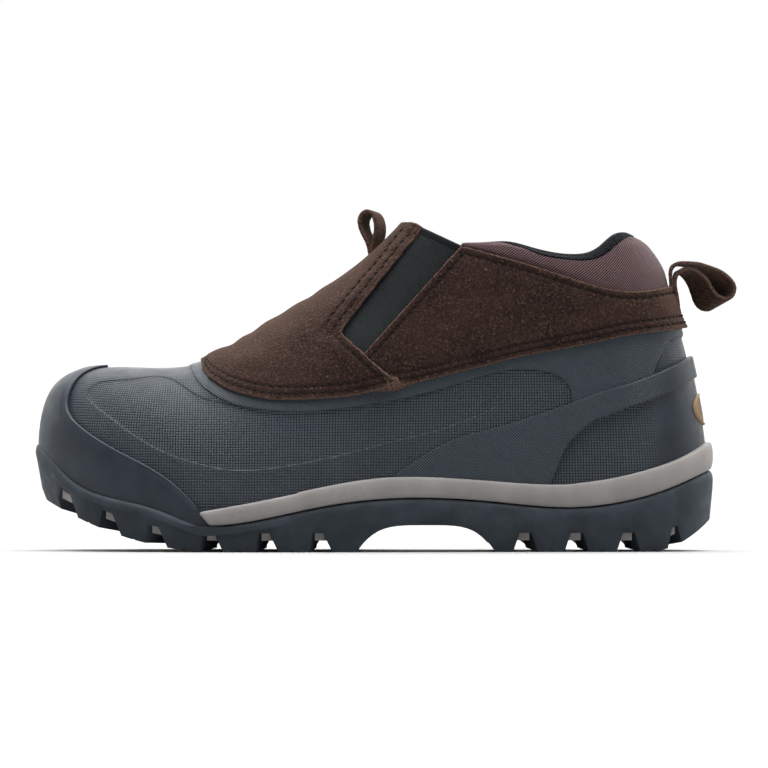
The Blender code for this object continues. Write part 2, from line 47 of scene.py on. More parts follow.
# %% [markdown]
# ## The last
# A shoemaker builds round a last, a solid foot. Here it is a table of sections from heel to
# toe, in millimetres. Each section is a rib that rises from the feather line, at the edge of
# the sole, to a ridge on top of the foot. Smooth curves through the columns give the form
# between the sections. One could sculpt instead, but a table keeps both sides in step.

# %% Sections of the last
MILLIMETRE = 0.001
SOLE_LENGTH = 305.0
# How far the back loop stands past the heel
LOOP_REACH = 10.4
CENTRE_ALONG = (SOLE_LENGTH - LOOP_REACH) / 2
FORM_COLUMNS = ("along", "lateral", "medial", "feather",
                "ridge_along", "ridge_across", "ridge_height", "power", "inset")
FORM = {
    "heel_back": (0, 0, 0, 36.5, 98, 0, 240, 1.5, 3.0),
    "heel_turn": (8, 24, 23.5, 33, 96, 0, 240, 1.55, 3.0),
    "heel_side": (29, 38.5, 37.5, 25.3, 93, 0, 240, 1.65, 3.0),
    "ankle": (62, 42, 39.5, 20, 91, 0, 238, 1.75, 3.0),
    "waist": (96, 43, 37.5, 22.2, 95, 0, 228, 1.8, 3.0),
    "throat": (126, 46, 38.5, 24.2, 111, 0.5, 187, 1.9, 3.0),
    "vamp_top": (149, 49.5, 42, 23.7, 138, 1, 148.5, 2, 3.0),
    "instep": (172, 53.5, 47.5, 21, 169, 2, 121, 2, 3.0),
    "ball_outer": (199, 56, 54, 15.5, 198, 3.5, 103, 2.05, 3.0),
    "ball_inner": (226, 54, 56.5, 11.8, 225, 5, 87, 2.2, 3.4),
    "toe_wide": (253, 46.5, 54, 15.5, 245, 6.5, 82.7, 2.5, 4.4),
    "toe_turn": (280, 31.5, 44, 24, 258, 8, 82.8, 2.8, 4.4),
    "toe_shoulder": (297, 13, 30, 33, 264, 9, 83, 3, 4.4),
    "toe_tip": (305, -9.5, 9.5, 38, 266, 9.5, 83, 3, 4.4),
}
FREE_COLUMNS = ("lateral", "medial")
LAST = len(FORM) - 1
print("sections of the last:", len(FORM))

# %% [markdown]
# ## Smooth curves
# A cubic curve through a few rows has no corners, so light runs along it cleanly. Lines that
# a maker would draw on the side of the boot are kept as (along, height), where "along" is the
# distance from the back of the sole towards the toe.

# %% Curves through rows
def smooth(places, values, flat_ends=False):
    """A cubic curve through rows of (place, value), which keeps its end values outside."""
    places = np.asarray(places, float)
    values = np.asarray(values, float)
    steps = np.diff(places)
    rates = np.diff(values) / steps
    count = len(places)
    system = np.zeros((count, count))
    right = np.zeros(count)
    for row in range(1, count - 1):
        before, after = steps[row - 1], steps[row]
        system[row, row - 1:row + 2] = after, 2 * (before + after), before
        right[row] = 3 * (after * rates[row - 1] + before * rates[row])
    for end, inner, rate in ((0, 1, rates[0]), (count - 1, count - 2, rates[-1])):
        system[end, end] = 2
        if not flat_ends:
            system[end, inner] = 1
            right[end] = 3 * rate
    slopes = np.linalg.solve(system, right)

    def read(where):
        where = np.clip(where, places[0], places[-1])
        step = np.clip(np.searchsorted(places, where) - 1, 0, count - 2)
        width = steps[step]
        part = (where - places[step]) / width
        rest = 1 - part
        return (values[step] * rest**2 * (1 + 2 * part) + slopes[step] * width * part * rest**2
                + values[step + 1] * part**2 * (1 + 2 * rest)
                - slopes[step + 1] * width * rest * part**2)

    return read


def side_line(rows):
    """A smooth height along the boot from rows of (along, height)."""
    return smooth(*zip(*rows))


def eased(value, low, high):
    """A soft step from 0 at low to 1 at high."""
    share = np.clip((value - low) / (high - low), 0, 1)
    return share * share * (3 - 2 * share)


def travelled(points):
    """Distance along a run of points."""
    return np.concatenate([[0], np.cumsum(np.linalg.norm(np.diff(points, axis=0), axis=1))])


def traced(rows, per_row=6):
    """A smooth run of points through rows of (along, height)."""
    rows = np.asarray(rows, float)
    travel = travelled(rows)
    marks = np.linspace(0, travel[-1], per_row * len(rows))
    return np.stack([smooth(travel, rows[:, axis])(marks) for axis in (0, 1)], axis=1)


# %% Lines drawn in side view: (along, height)
SUEDE_HEM = ((11, 100.8), (28, 98.8), (40, 97.3), (51, 95), (66, 92), (87, 88), (123, 79), (140, 75.4),
             (150, 73.3), (158, 71.3), (169, 69.6), (180, 68.8), (190, 68.4), (201, 68.9), (207, 70),
             (213, 71.5), (217.5, 73), (222.8, 75.8), (227.3, 80.3), (228.4, 84.2), (229, 88.8))
SUEDE_TOP = ((20, 118), (36, 115.8), (49, 117.4), (62, 121.2), (74, 125.1), (87.5, 129.3),
             (100.5, 132.9), (108, 135), (113, 136.2), (130.8, 144.9), (134, 146.8), (138, 147.2),
             (142, 146.6))
MOUTH = ((37.4, 144.1), (44.4, 142), (51, 136.7), (62.5, 133.4), (80, 136.0), (93, 139.2),
         (104, 139.1), (114, 139.0))
STRAP_TOP = ((10, 87.2), (16, 84), (26, 79.3), (39, 74.5), (52, 70.6), (61, 67.2), (78, 61.4),
             (94, 56.3), (121, 48), (141, 35.7), (147, 32))
STRAP_FOOT = ((7, 79.2), (14.3, 75.8), (23.6, 71), (31.4, 67.7), (40, 64.8), (47, 61.8), (57.2, 57),
              (62.4, 52), (66.5, 47.5), (73, 32), (80, 15))
STRIPE_TOP = ((0, 48), (8, 43.5), (29, 36), (62, 30), (96, 31), (126, 33), (149, 32.7),
              (172, 29.3), (199, 23.8), (231, 18))
BED_TOP = ((0, 40), (10, 36.5), (29, 32), (60, 30), (126, 29.5), (172, 25.5), (226, 18),
           (253, 20.5), (280, 28.5), (305, 41.5))
BUMPER_TOP = ((231, 11.3), (242, 15.7), (253, 19.8), (274, 24.8), (285, 28.8), (293, 34.6),
              (298, 40.5), (305, 48.5))

column = {name: smooth(range(LAST + 1), values, name not in FREE_COLUMNS)
          for name, values in zip(FORM_COLUMNS, zip(*FORM.values()))}
suede_hem = side_line(SUEDE_HEM)
suede_top = side_line(SUEDE_TOP)
mouth = side_line(MOUTH)
strap_top = side_line(STRAP_TOP)
strap_foot = side_line(STRAP_FOOT)
stripe_top = side_line(STRIPE_TOP)
bed_top = side_line(BED_TOP)
bumper_top = side_line(BUMPER_TOP)
print("hem of the suede at mid foot:", round(float(suede_hem(150.0)), 1), "mm above the floor")

# %% [markdown]
# ## Points on the form
# Two numbers name a place on the boot: the turn round the sole, which counts sections from
# the heel (plus on the outer side, minus on the inner), and the angle up the rib, a quarter
# turn at the ridge.

# %% Points on the form
# Step in turn or angle by which slopes are measured
NUDGE = 0.01
TINY = 1e-12


def unit(vectors):
    """Vectors brought to length 1; a vector of no length stays so."""
    return vectors / np.maximum(np.linalg.norm(vectors, axis=-1, keepdims=True), TINY)


def outline(turn):
    """The sole's edge in plan."""
    turn = np.mod(turn + LAST, 2 * LAST) - LAST
    spread = np.abs(turn)
    across = np.where(turn > 0, -column["lateral"](spread), column["medial"](spread))
    return np.stack([CENTRE_ALONG - column["along"](spread), across], axis=-1)


def sole_edge(turn, inset):
    """The sole's edge pulled in by inset along its own normal."""
    turn = np.asarray(turn, float)
    run = unit(outline(turn + NUDGE) - outline(turn - NUDGE))
    outward = np.stack([-run[..., 1], run[..., 0]], axis=-1)
    return outline(turn) - outward * np.asarray(inset)[..., None]


def form(turn, angle):
    """A point of the boot's outer form: round the sole by turn, up its rib by angle."""
    spread = np.abs(turn)
    base = sole_edge(turn, column["inset"](spread))
    ridge = np.stack([CENTRE_ALONG - column["ridge_along"](spread),
                      column["ridge_across"](spread)], axis=-1)
    share = 2 / column["power"](spread)
    inward = 1 - np.clip(np.cos(angle), 0, 1)**share
    rise = np.clip(np.sin(angle), 0, 1)**share
    feather = column["feather"](spread)
    plan = base + (ridge - base) * inward[..., None]
    height = feather + (column["ridge_height"](spread) - feather) * rise
    return np.concatenate([plan, height[..., None]], axis=-1)


def along_of(points):
    """Distance of points from the back of the sole towards the toe."""
    return CENTRE_ALONG - points[..., 0]


def along_at(turn):
    """Distance of the sole's edge from its back, at a turn."""
    return column["along"](np.abs(turn))


def feather_at(turn):
    """Height of the feather line at a turn."""
    return column["feather"](np.abs(turn))


print("back of the sole at x =", round(float(outline(0.0)[0]), 1), "mm")


# %% Places on the form by height and by side view
SEARCH = np.linspace(0, LAST, 1301)
EVEN_STEPS = 1001
FIRST_ANGLE = 0.5
ROUNDS = 16
# Turns between which the suede's hem and its top edge reach the ridge
TIP_TURNS = (8, 9.5)
PEAK_TURNS = (5, 6.5)


def rib_angle(turn, height):
    """The angle at which a rib reaches a height, at most its ridge."""
    spread = np.abs(turn)
    feather = column["feather"](spread)
    level = np.clip((height - feather) / (column["ridge_height"](spread) - feather), 0, 1)
    return np.arcsin(level**(column["power"](spread) / 2))


def angle_on(turn, line, lift=0.0):
    """The angle at which each rib crosses a line drawn in side view, raised by lift."""
    angle = np.full_like(turn, FIRST_ANGLE)
    for _ in range(ROUNDS):
        angle = rib_angle(turn, line(along_of(form(turn, angle))) + lift)
    return angle


def turn_of(along):
    """The turn at which the sole's edge reaches a distance along."""
    return np.interp(along, column["along"](SEARCH), SEARCH)


def turn_at(along, height):
    """The turn whose rib passes a place in side view."""
    return np.interp(along, along_of(form(SEARCH, rib_angle(SEARCH, height))), SEARCH)


def ridge_meeting(line, low, high, lift=0.0):
    """The turn between two others at which a line in side view reaches the ridge."""
    range_turns = SEARCH[(SEARCH > low) & (SEARCH < high)]
    ridge = column["ridge_height"](range_turns)
    return np.interp(0, line(column["ridge_along"](range_turns)) + lift - ridge, range_turns)


def even_turns(first, last, height, spacing, *extra):
    """Turns whose ribs stand about one spacing apart at a height, with any extra ones."""
    fine = np.linspace(first, last, EVEN_STEPS)
    travel = travelled(form(fine, rib_angle(fine, height)))
    count = int(np.ceil(travel[-1] / spacing)) + 1
    even = np.interp(np.linspace(0, travel[-1], count), travel, fine)
    return np.unique(np.concatenate([even, extra]))


def both_sides(half):
    """Turns from the inner side round the heel to the outer side."""
    return np.concatenate([-half[:0:-1], half])


def rib_grid(turns, low, high, rows):
    """Grids of turn and angle that divide each rib evenly between two angles."""
    fine = low[:, None] + (high - low)[:, None] * np.linspace(0, 1, 4 * rows + 1)
    points = form(np.broadcast_to(turns[:, None], fine.shape), fine)
    share = np.linspace(0, 1, rows + 1)
    angles = []
    for rib, rib_angles in zip(points, fine):
        travel = travelled(rib)
        angles.append(np.interp(share * travel[-1], travel, rib_angles))
    return np.repeat(turns[:, None], rows + 1, axis=1), np.array(angles)


# %% The flat pattern
GIRTH_HEIGHT = 55.0
CLIMB_STEPS = 24
girth_travel = travelled(form(SEARCH, rib_angle(SEARCH, GIRTH_HEIGHT)))


def girth_at(turn):
    """Distance round the boot from the back of the heel, minus on the inner side."""
    return np.interp(np.abs(turn), SEARCH, girth_travel) * np.sign(turn)


def flat(girth, climb):
    """Places on the flat pattern as points, which finishes can read."""
    girth, climb = np.broadcast_arrays(girth, climb)
    return np.stack([girth, climb, np.zeros(girth.shape)], axis=-1)


def pattern_of(turn, angle):
    """Where a point lies on the flat pattern: girth round the boot, climb up the rib, in mm."""
    climb = feather_at(turn)
    before = form(turn, 0 * angle)
    for step in range(1, CLIMB_STEPS + 1):
        after = form(turn, angle * step / CLIMB_STEPS)
        climb = climb + np.linalg.norm(after - before, axis=-1)
        before = after
    return flat(girth_at(turn), climb)


print("girth of half the boot:", round(float(girth_travel[-1])), "mm")

# %% [markdown]
# ## Sheets and walls
# Leather and rubber panels are sheets with a thickness. A sheet starts as a lattice of points
# on the form. Its wall gets an outer face, an inner face and a round rim between them, so
# that no edge is a knife edge. Blender's Solidify would do nearly the same, but here the
# outer face also carries relief, a distance for each point.

# %% Sheets of points
# Points closer than this are joined
WELD = 0.002


def quads_between(corner):
    """Quads between neighbouring columns of numbered points, wound to face outwards."""
    quads = np.stack([corner[:-1, :-1], corner[:-1, 1:], corner[1:, 1:], corner[1:, :-1]], axis=-1)
    return quads.reshape(-1, 4)


def tidy_faces(faces):
    """Quads with joined corners become triangles, written with the last corner twice, or go."""
    kept = []
    for face in faces.tolist():
        corners = list(dict.fromkeys(face))
        if len(corners) > 2:
            kept.append((corners + corners[-1:])[:4])
    return np.array(kept)


def welded(points, faces):
    """Points joined where they meet, the faces between them, and the numbers of those kept."""
    _, kept, place = np.unique(np.round(points / WELD), axis=0,
                               return_index=True, return_inverse=True)
    return points[kept], tidy_faces(place.reshape(-1)[faces]), kept


def normals_of(points, faces):
    """The normal at each point, from the faces round it."""
    across = np.cross(points[faces[:, 2]] - points[faces[:, 0]],
                      points[faces[:, 3]] - points[faces[:, 1]])
    total = np.zeros_like(points)
    for corner in range(4):
        np.add.at(total, faces[:, corner], across)
    return unit(total)


def sheet_of(grids, **marks):
    """One sheet from grids of points, welded where they meet; marks are values at the points."""
    faces = []
    first = 0
    for grid in grids:
        count = grid[..., 0].size
        faces.append(quads_between(first + np.arange(count).reshape(grid.shape[:2])))
        first += count
    points, faces, kept = welded(np.concatenate([grid.reshape(-1, 3) for grid in grids]),
                                 np.concatenate(faces))
    sheet = {name: np.concatenate([value.reshape(-1, *value.shape[2:]) for value in values])[kept]
             for name, values in marks.items()}
    sheet.update(points=points, faces=faces, normals=normals_of(points, faces),
                 along=along_of(points), height=points[:, 2])
    return sheet


def form_sheet(*grids):
    """A sheet on the form from grids of turn and angle, with its pattern."""
    return sheet_of([form(turn, angle) for turn, angle in grids],
                    turn=[turn for turn, _ in grids],
                    pattern=[pattern_of(turn, angle) for turn, angle in grids])


# %% Walls with a round rim
RIM_STEPS = 6


def border_edges(faces):
    """Directed edges that only one face uses."""
    edges = np.concatenate([faces[:, [corner, (corner + 1) % 4]] for corner in range(4)])
    edges = edges[edges[:, 0] != edges[:, 1]]
    count = faces.max() + 1
    return edges[~np.isin(edges[:, 0] * count + edges[:, 1], edges[:, 1] * count + edges[:, 0])]


def walled(sheet, outer, inner, bulge=1.0):
    """Points, faces and origins of a wall between two distances from a sheet."""
    points, faces, normals = sheet["points"], sheet["faces"], sheet["normals"]
    count = len(points)
    outer = np.broadcast_to(outer, count)
    inner = np.broadcast_to(inner, count)
    edges = border_edges(faces)
    side = unit(np.cross(points[edges[:, 1]] - points[edges[:, 0]], normals[edges[:, 0]]))
    push = np.zeros_like(points)
    np.add.at(push, edges[:, 0], side)
    np.add.at(push, edges[:, 1], side)
    push = unit(push)
    rim = np.unique(edges)
    rank = np.zeros(count, int)
    rank[rim] = np.arange(len(rim))
    middle = (outer + inner) / 2
    half = (outer - inner) / 2
    layers = [points + normals * outer[:, None], points + normals * inner[:, None]]
    rings = [np.arange(count)]
    for step in range(1, RIM_STEPS):
        swing = np.pi * step / RIM_STEPS
        level = middle + half * np.cos(swing)
        ring = points + normals * level[:, None] + push * (bulge * half * np.sin(swing))[:, None]
        layers.append(ring[rim])
        rings.append(2 * count + (step - 1) * len(rim) + rank)
    rings.append(np.arange(count) + count)
    strips = [np.stack([upper[edges[:, 1]], upper[edges[:, 0]],
                        lower[edges[:, 0]], lower[edges[:, 1]]], axis=1)
              for upper, lower in zip(rings, rings[1:])]
    return {"points": np.concatenate(layers),
            "faces": np.concatenate([faces, faces[:, ::-1] + count, *strips]),
            "origin": np.concatenate([np.arange(count), np.arange(count),
                                      *[rim] * (RIM_STEPS - 1)]),
            "rim": np.concatenate([np.isin(np.arange(count), rim) * 0.5, np.zeros(count),
                                   np.ones(len(rim) * (RIM_STEPS - 1))])}


# %% Pieces in the scene
def carried(shape, **marks):
    """Values at the points of a sheet, handed on to the points of its wall."""
    return {name: values[shape["origin"]] for name, values in marks.items()}


def placed(name, data):
    """A new object in the scene."""
    made = bpy.data.objects.new(name, data)
    bpy.context.scene.collection.objects.link(made)
    return made


def add_piece(name, shape, finish, slot, replaces=(), **marks):
    """Put a mesh in the scene under its name, riding on the boot, with values for its finish."""
    mesh = bpy.data.meshes.new(name)
    corners = [tuple(dict.fromkeys(face)) for face in shape["faces"].tolist()]
    mesh.from_pydata((shape["points"] * MILLIMETRE).tolist(), [], corners)
    mesh.shade_smooth()
    for key, values in marks.items():
        kind, field = ("FLOAT_VECTOR", "vector") if values.ndim == 2 else ("FLOAT", "value")
        attribute = mesh.attributes.new(key, kind, "POINT")
        attribute.data.foreach_set(field, np.ascontiguousarray(values, np.float32).ravel())
    mesh.materials.append(finish)
    piece = placed(name, mesh)
    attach(piece, "root")
    if replaces:
        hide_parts(*replaces)
    print(name, "has", sum(len(face) - 2 for face in corners), "triangles")
    return piece


# %% [markdown]
# ## Finishes
# A finish is a node material: colour, roughness and bump worked out from where a point lies.
# Noise over the object's own space gives mottling and grain. Values stored on the points,
# such as the place on the flat pattern or the distance from a seam, carry what belongs to
# one panel. Two small classes give the nodes short names: one for any tree of nodes, which
# the sky uses too, and one for materials.

# %% Nodes with short names
class Nodes:
    """A tree of nodes under construction."""

    def __init__(self, tree):
        self.tree = tree

    def plug(self, socket, value):
        """Link an output to a socket, or set the socket's own value."""
        if isinstance(value, bpy.types.NodeSocket):
            self.tree.links.new(value, socket)
        else:
            socket.default_value = value

    def add(self, kind, values=(), **settings):
        """A node with settings, and values or links for its sockets by name or number."""
        made = self.tree.nodes.new("ShaderNode" + kind)
        for name, setting in settings.items():
            setattr(made, name, setting)
        for socket, value in dict(values).items():
            self.plug(made.inputs[socket], value)
        return made

    def math(self, operation, first, second=0.0):
        """One sum with two numbers."""
        return self.add("Math", {0: first, 1: second}, operation=operation).outputs[0]

    def times(self, first, second):
        """The product of two numbers."""
        return self.math("MULTIPLY", first, second)

    def step(self, value, low, high, bottom=0.0, top=1.0):
        """A soft step of a value between two limits."""
        made = self.add("MapRange", {"Value": value, "From Min": low, "From Max": high,
                                     "To Min": bottom, "To Max": top},
                        interpolation_type="SMOOTHSTEP")
        return made.outputs["Result"]

    def between(self, share, first, second):
        """A number between two others."""
        return self.add("Mix", {0: share, 2: first, 3: second}).outputs[0]

    def blend(self, share, first, second):
        """A colour between two others."""
        made = self.add("Mix", {0: share, 6: first, 7: second}, data_type="RGBA")
        return made.outputs[2]


# %% Materials with short names
GRAIN_RANGE = (0.2, 0.8)


class Finish(Nodes):
    """A node material under construction."""

    def __init__(self, name, **sockets):
        self.material = bpy.data.materials.new(name)
        self.material.use_nodes = True
        super().__init__(self.material.node_tree)
        self.shader = self.tree.nodes["Principled BSDF"]
        self.relief = None
        for socket, value in sockets.items():
            self.plug(self.shader.inputs[socket.replace("_", " ")], value)

    def mark(self, name):
        """A number stored on the points."""
        return self.add("Attribute", attribute_name=name).outputs["Fac"]

    def pattern(self):
        """The two directions of the flat pattern, in millimetres."""
        place = self.add("Attribute", attribute_name="pattern").outputs["Vector"]
        split = self.add("SeparateXYZ", {"Vector": place})
        return split.outputs["X"], split.outputs["Y"]

    def noise(self, size, detail=3.0, stretch=(1.0, 1.0, 1.0)):
        """Soft noise whose blotches are about size millimetres across."""
        place = self.add("TexCoord").outputs["Object"]
        scaled = self.add("Mapping", {"Vector": place, "Scale": stretch}).outputs["Vector"]
        made = self.add("TexNoise", {"Vector": scaled, "Scale": 1000.0 / size, "Detail": detail})
        return made.outputs[0]

    def lines(self, value, pitch, low=0.1, high=0.7):
        """Raised lines across a value in millimetres, one each pitch."""
        swing = self.math("PINGPONG", value, pitch / 2)
        return self.step(swing, low * pitch / 2, high * pitch / 2)

    def colour(self, value):
        """Set the colour of the surface."""
        self.plug(self.shader.inputs["Base Color"], value)

    def rough(self, grain, low, high):
        """Set the roughness of the surface, between two values by a grain of 0 to 1."""
        self.plug(self.shader.inputs["Roughness"], self.step(grain, *GRAIN_RANGE, low, high))

    def bump(self, height, depth):
        """Raise the surface by a height of 0 to 1 times a depth in millimetres."""
        made = self.add("Bump", {"Height": height, "Strength": 1.0,
                                 "Distance": depth * MILLIMETRE})
        if self.relief is not None:
            self.plug(made.inputs["Normal"], self.relief)
        self.relief = made.outputs["Normal"]
        self.plug(self.shader.inputs["Normal"], self.relief)


def tone(red, green, blue):
    """A colour with full cover."""
    return (red, green, blue, 1.0)


# %% [markdown]
# ## The rubber shell
# The lower is one rubber moulding. Its side has a sunk panel with a fine grid of small pads,
# a second line inside that panel, and plain margins with fine diagonal lines. The steps
# between the panels are real relief; the grid is finer than any sensible mesh, so it is bump
# driven by the flat pattern. The distance from each panel's outline is stored on the points,
# which keeps the borders crisp between them.

# %% Finish of the moulded slate rubber
SLATE_DARK = tone(0.0120, 0.0170, 0.0240)
SLATE = tone(0.0196, 0.0275, 0.0380)
# Painted highlight: the grid's pads and the raised diagonal lines are lightened towards this colour, as
# where light catches their tops
SLATE_HIGHLIGHT = tone(0.064, 0.083, 0.104)
# Painted shade: the ground of the moulded texture is darkened towards this colour, as shade in the
# grooves between pads and lines
SLATE_GROOVE_SHADE = tone(0.0050, 0.0073, 0.0106)
GRID_PITCH = 1.25
DIAGONAL_PITCH = 1.0
DIAGONAL = 0.5**0.5
# Girth over which the diagonal lines change their slant, past the heel
HATCH_TURN = (38.0, 62.0)
HATCH_SHARE = 0.8
PAD_EDGE = (0.06, 0.34)
# Shares of the painted shade in the grooves and of the painted highlight on the pads and lines
GROOVE_SHADE_SHARE = 0.7
HIGHLIGHT_SHARE = 0.85
TEXTURE_DEPTH = 0.5
INNER_STEP = {"edge": (-0.3, 0.3), "depth": 0.5}
PANEL_STEP = {"edge": (-0.35, 0.35), "depth": 0.7}
PANEL_CHANGE = (-0.3, 0.4)


def slate_rubber(name, moulded=True):
    """Dark blue-grey rubber, with the moulded grid and diagonal lines or smooth; the grid's pads and the
    raised lines get a painted highlight, and the grooves between them painted shade.
    """
    finish = Finish(name, Specular_IOR_Level=0.3)
    blotch = finish.step(finish.noise(18.0), 0.35, 0.7)
    speck = finish.noise(0.5, 2.0)
    ground = finish.blend(blotch, SLATE_DARK, SLATE)
    if moulded:
        girth, climb = finish.pattern()
        pads = finish.math("MINIMUM", finish.math("PINGPONG", girth, GRID_PITCH / 2),
                           finish.math("PINGPONG", climb, GRID_PITCH / 2))
        pads = finish.step(pads, *PAD_EDGE)
        girth = finish.math("ABSOLUTE", girth)
        hatches = [finish.lines(finish.times(finish.math(way, girth, climb), DIAGONAL),
                                DIAGONAL_PITCH) for way in ("ADD", "SUBTRACT")]
        ridges = finish.between(finish.step(girth, *HATCH_TURN), *hatches)
        in_panel = finish.step(finish.mark("panel"), *PANEL_CHANGE)
        texture = finish.between(in_panel, finish.times(ridges, HATCH_SHARE), pads)
        texture = finish.times(texture, finish.mark("texture"))
        # Painted shade in the grooves of the moulded texture
        grooves = finish.times(finish.mark("texture"), GROOVE_SHADE_SHARE)
        ground = finish.blend(grooves, ground, SLATE_GROOVE_SHADE)
        # Painted highlight on the pads and the raised lines
        ground = finish.blend(finish.times(texture, HIGHLIGHT_SHARE), ground, SLATE_HIGHLIGHT)
        finish.bump(texture, TEXTURE_DEPTH)
        inner_step = finish.step(finish.mark("inner"), *INNER_STEP["edge"], 1.0, 0.0)
        finish.bump(finish.times(inner_step, finish.mark("inner_depth")), INNER_STEP["depth"])
        panel_step = finish.step(finish.mark("panel"), *PANEL_STEP["edge"], 1.0, 0.0)
        finish.bump(panel_step, PANEL_STEP["depth"])
    finish.colour(ground)
    finish.rough(finish.noise(6.0), 0.38, 0.52)
    finish.bump(speck, 0.03)
    return finish.material


moulded_slate = slate_rubber("moulded_slate_rubber")
smooth_slate = slate_rubber("smooth_slate_rubber", moulded=False)
print("grid pitch", GRID_PITCH, "mm, diagonal pitch", DIAGONAL_PITCH, "mm")

# %% Panel outlines in side view: (along, height)
PANEL_TOP = ((237, 89), (234.8, 82.5), (232.2, 77.3), (227.5, 72.4), (220.6, 68.2), (214.6, 65.9),
             (203, 63.7), (185.9, 62.7), (163.4, 64.6), (140.9, 68.3), (118.4, 74), (100, 79.6),
             (88, 81.6), (78, 81), (70.7, 79), (65.7, 75), (64, 69), (65, 58))
INNER_TOP = ((272, 61), (278, 65.5), (281.5, 70.5), (278.5, 75), (271, 77), (262, 77.7), (246, 78.6),
             (240, 76), (235, 72.4), (229.5, 69.3), (217.4, 66.3), (203, 62.8), (185.9, 61.7),
             (163.4, 63.6), (140.9, 67.3), (118.4, 73), (107, 75.2), (98.6, 74.2), (95, 69.3))
INNER_FOOT = ((95.5, 66), (103.4, 62.3), (111.6, 58.9), (121, 55.4), (142, 50.1), (157.6, 46),
              (176, 41.6), (191.6, 38.7), (205, 37), (219, 37.2), (230.9, 39.6), (253.4, 48.2), (264, 55))
FAR_CORNERS = ((65, -40), (360, -40), (360, 130), (236, 130))
HEEL_FACET = ((27, 79), (25.5, 83.5), (22.5, 89.7), (20, 94.3), (11, 98), (-20, 100), (-20, 79))


def depth_inside(along, height, corners):
    """Distance from a closed outline in side view, positive inside it."""
    start = np.asarray(corners, float)
    run = np.roll(start, -1, axis=0) - start
    place = np.stack([along, height], axis=-1)[:, None, :]
    share = np.clip(((place - start) * run).sum(-1) / (run**2).sum(-1), 0, 1)
    distance = np.linalg.norm(place - start - share[..., None] * run, axis=-1).min(-1)
    level = height[:, None]
    crosses = (start[:, 1] > level) != (np.roll(start[:, 1], -1) > level)
    rise = np.where(run[:, 1] == 0, 1.0, run[:, 1])
    ahead = along[:, None] < start[:, 0] + (level - start[:, 1]) * run[:, 0] / rise
    inside = (crosses & ahead).sum(-1) % 2 == 1
    return np.where(inside, distance, -distance)


panel_outline = np.concatenate([traced(PANEL_TOP), FAR_CORNERS])
inner_outline = np.concatenate([traced(INNER_TOP), traced(INNER_FOOT)])
print("outer panel outline has", len(panel_outline), "points")

# %% The shell
# Clearance between neighbouring pieces
GAP = 0.3
SHELL_WALL = 3.0
SHELL_SEAT = 0.5
SUEDE_LAP = 7.0
# Along here the wall's foot drops from the stripe to the outsole
SHELL_DROP = (230.7, 232.2)
RAND_RISE = 0.35
PANEL_SINK = 0.75
INNER_SINK = 0.4
FACET_SINK = 0.5
SHELL_SPACING = 1.3
SHELL_ROWS = 62
# Depths inside an outline are cut off at this distance, and the strap hides what is further on
FAR = 6.0
STRAP_REACH = 82.0
INNER_FADE = 0.55
BARE = {"facet": 0.75, "tip": 0.75, "foot": 0.55}
# Where each change starts and ends: a depth inside an outline, a distance along or a height
SHELL_CHANGES = {
    "panel edge": (-0.5, 0.7), "inner edge": (-0.4, 0.7), "inner fade along": (120, 160),
    "sunk along": (6, 26), "facet edge": (-0.3, 0.7), "facet floor": (-0.3, 1.2),
    "crown height": (76.5, 80.0), "crown along": (228, 240), "bare facet": (-0.6, 0.6),
    "bare heel along": (18, 40), "tip along": (202, 220), "tip edge": (-0.5, 0.5),
    "worn edge": (-1, 1), "worn height": (46, 58), "worn along": (100, 140)}


def shell_foot(turns):
    """Where the shell's wall starts: on the stripe, and on the outsole round the toe."""
    along = along_at(turns)
    drop = np.interp(along, SHELL_DROP, (0, 1))
    return (stripe_top(along) - SHELL_SEAT) * (1 - drop) + feather_at(turns) * drop


def make_shell():
    """Moulded lower with its sunk panels, closed over the toe and open above and below."""
    closing = ridge_meeting(suede_hem, *TIP_TURNS, SUEDE_LAP)
    turns = both_sides(even_turns(0, LAST, GIRTH_HEIGHT, SHELL_SPACING, closing))
    low = rib_angle(turns, shell_foot(turns))
    high = angle_on(turns, suede_hem, SUEDE_LAP)
    high = np.where(np.abs(turns) >= closing, np.pi / 2, high)
    sheet = form_sheet(rib_grid(turns, low, high, SHELL_ROWS))
    along, height = sheet["along"], sheet["height"]

    def past(value, change):
        return eased(value, *SHELL_CHANGES[change])

    inner = depth_inside(along, height, inner_outline)
    facet = depth_inside(along, height, HEEL_FACET)
    behind_strap = np.where(along < STRAP_REACH, strap_foot(along) - height, -FAR)
    panel = np.maximum.reduce([depth_inside(along, height, panel_outline),
                               np.minimum(behind_strap, FAR), np.minimum(facet, FAR)])
    fade = INNER_FADE + (1 - INNER_FADE) * past(along, "inner fade along")
    sink = PANEL_SINK * np.maximum(past(along, "sunk along"), past(facet, "facet edge"))
    outer = (RAND_RISE - sink * past(panel, "panel edge")
             - INNER_SINK * fade * past(inner, "inner edge")
             - FACET_SINK * past(facet, "facet floor"))
    crown = past(height, "crown height") * past(along, "crown along")
    bare_heel = np.where(height > strap_top(along), BARE["facet"] * past(facet, "bare facet"),
                         1 - past(along, "bare heel along"))
    plain_tip = BARE["tip"] * past(along, "tip along") * (1 - past(panel, "tip edge"))
    worn_foot = (BARE["foot"] * past(-inner, "worn edge") * past(along, "worn along")
                 * (1 - past(height, "worn height")))
    texture = np.clip(1 - crown - bare_heel - plain_tip - worn_foot, 0, 1)
    shape = walled(sheet, outer, -SHELL_WALL, bulge=0.5)
    add_piece("shell_moulding", shape, moulded_slate, "shell_rubber", ["shell"],
              **carried(shape, pattern=sheet["pattern"], panel=np.clip(panel, -FAR, FAR),
                        inner=np.clip(inner, -FAR, FAR), inner_depth=fade, texture=texture))


make_shell()

# %% [markdown]
# ## Toe cap and heel strap
# Two smooth bands stand proud of the shell: the bumper over the toe, and a strap that sweeps
# from the stripe up and round the heel. They are cut from the same form and laid a little
# higher, with rounded borders, as a second pour of rubber would sit. Separate curves with a
# bevel could make them too, but then they would have to be fitted to the shell.

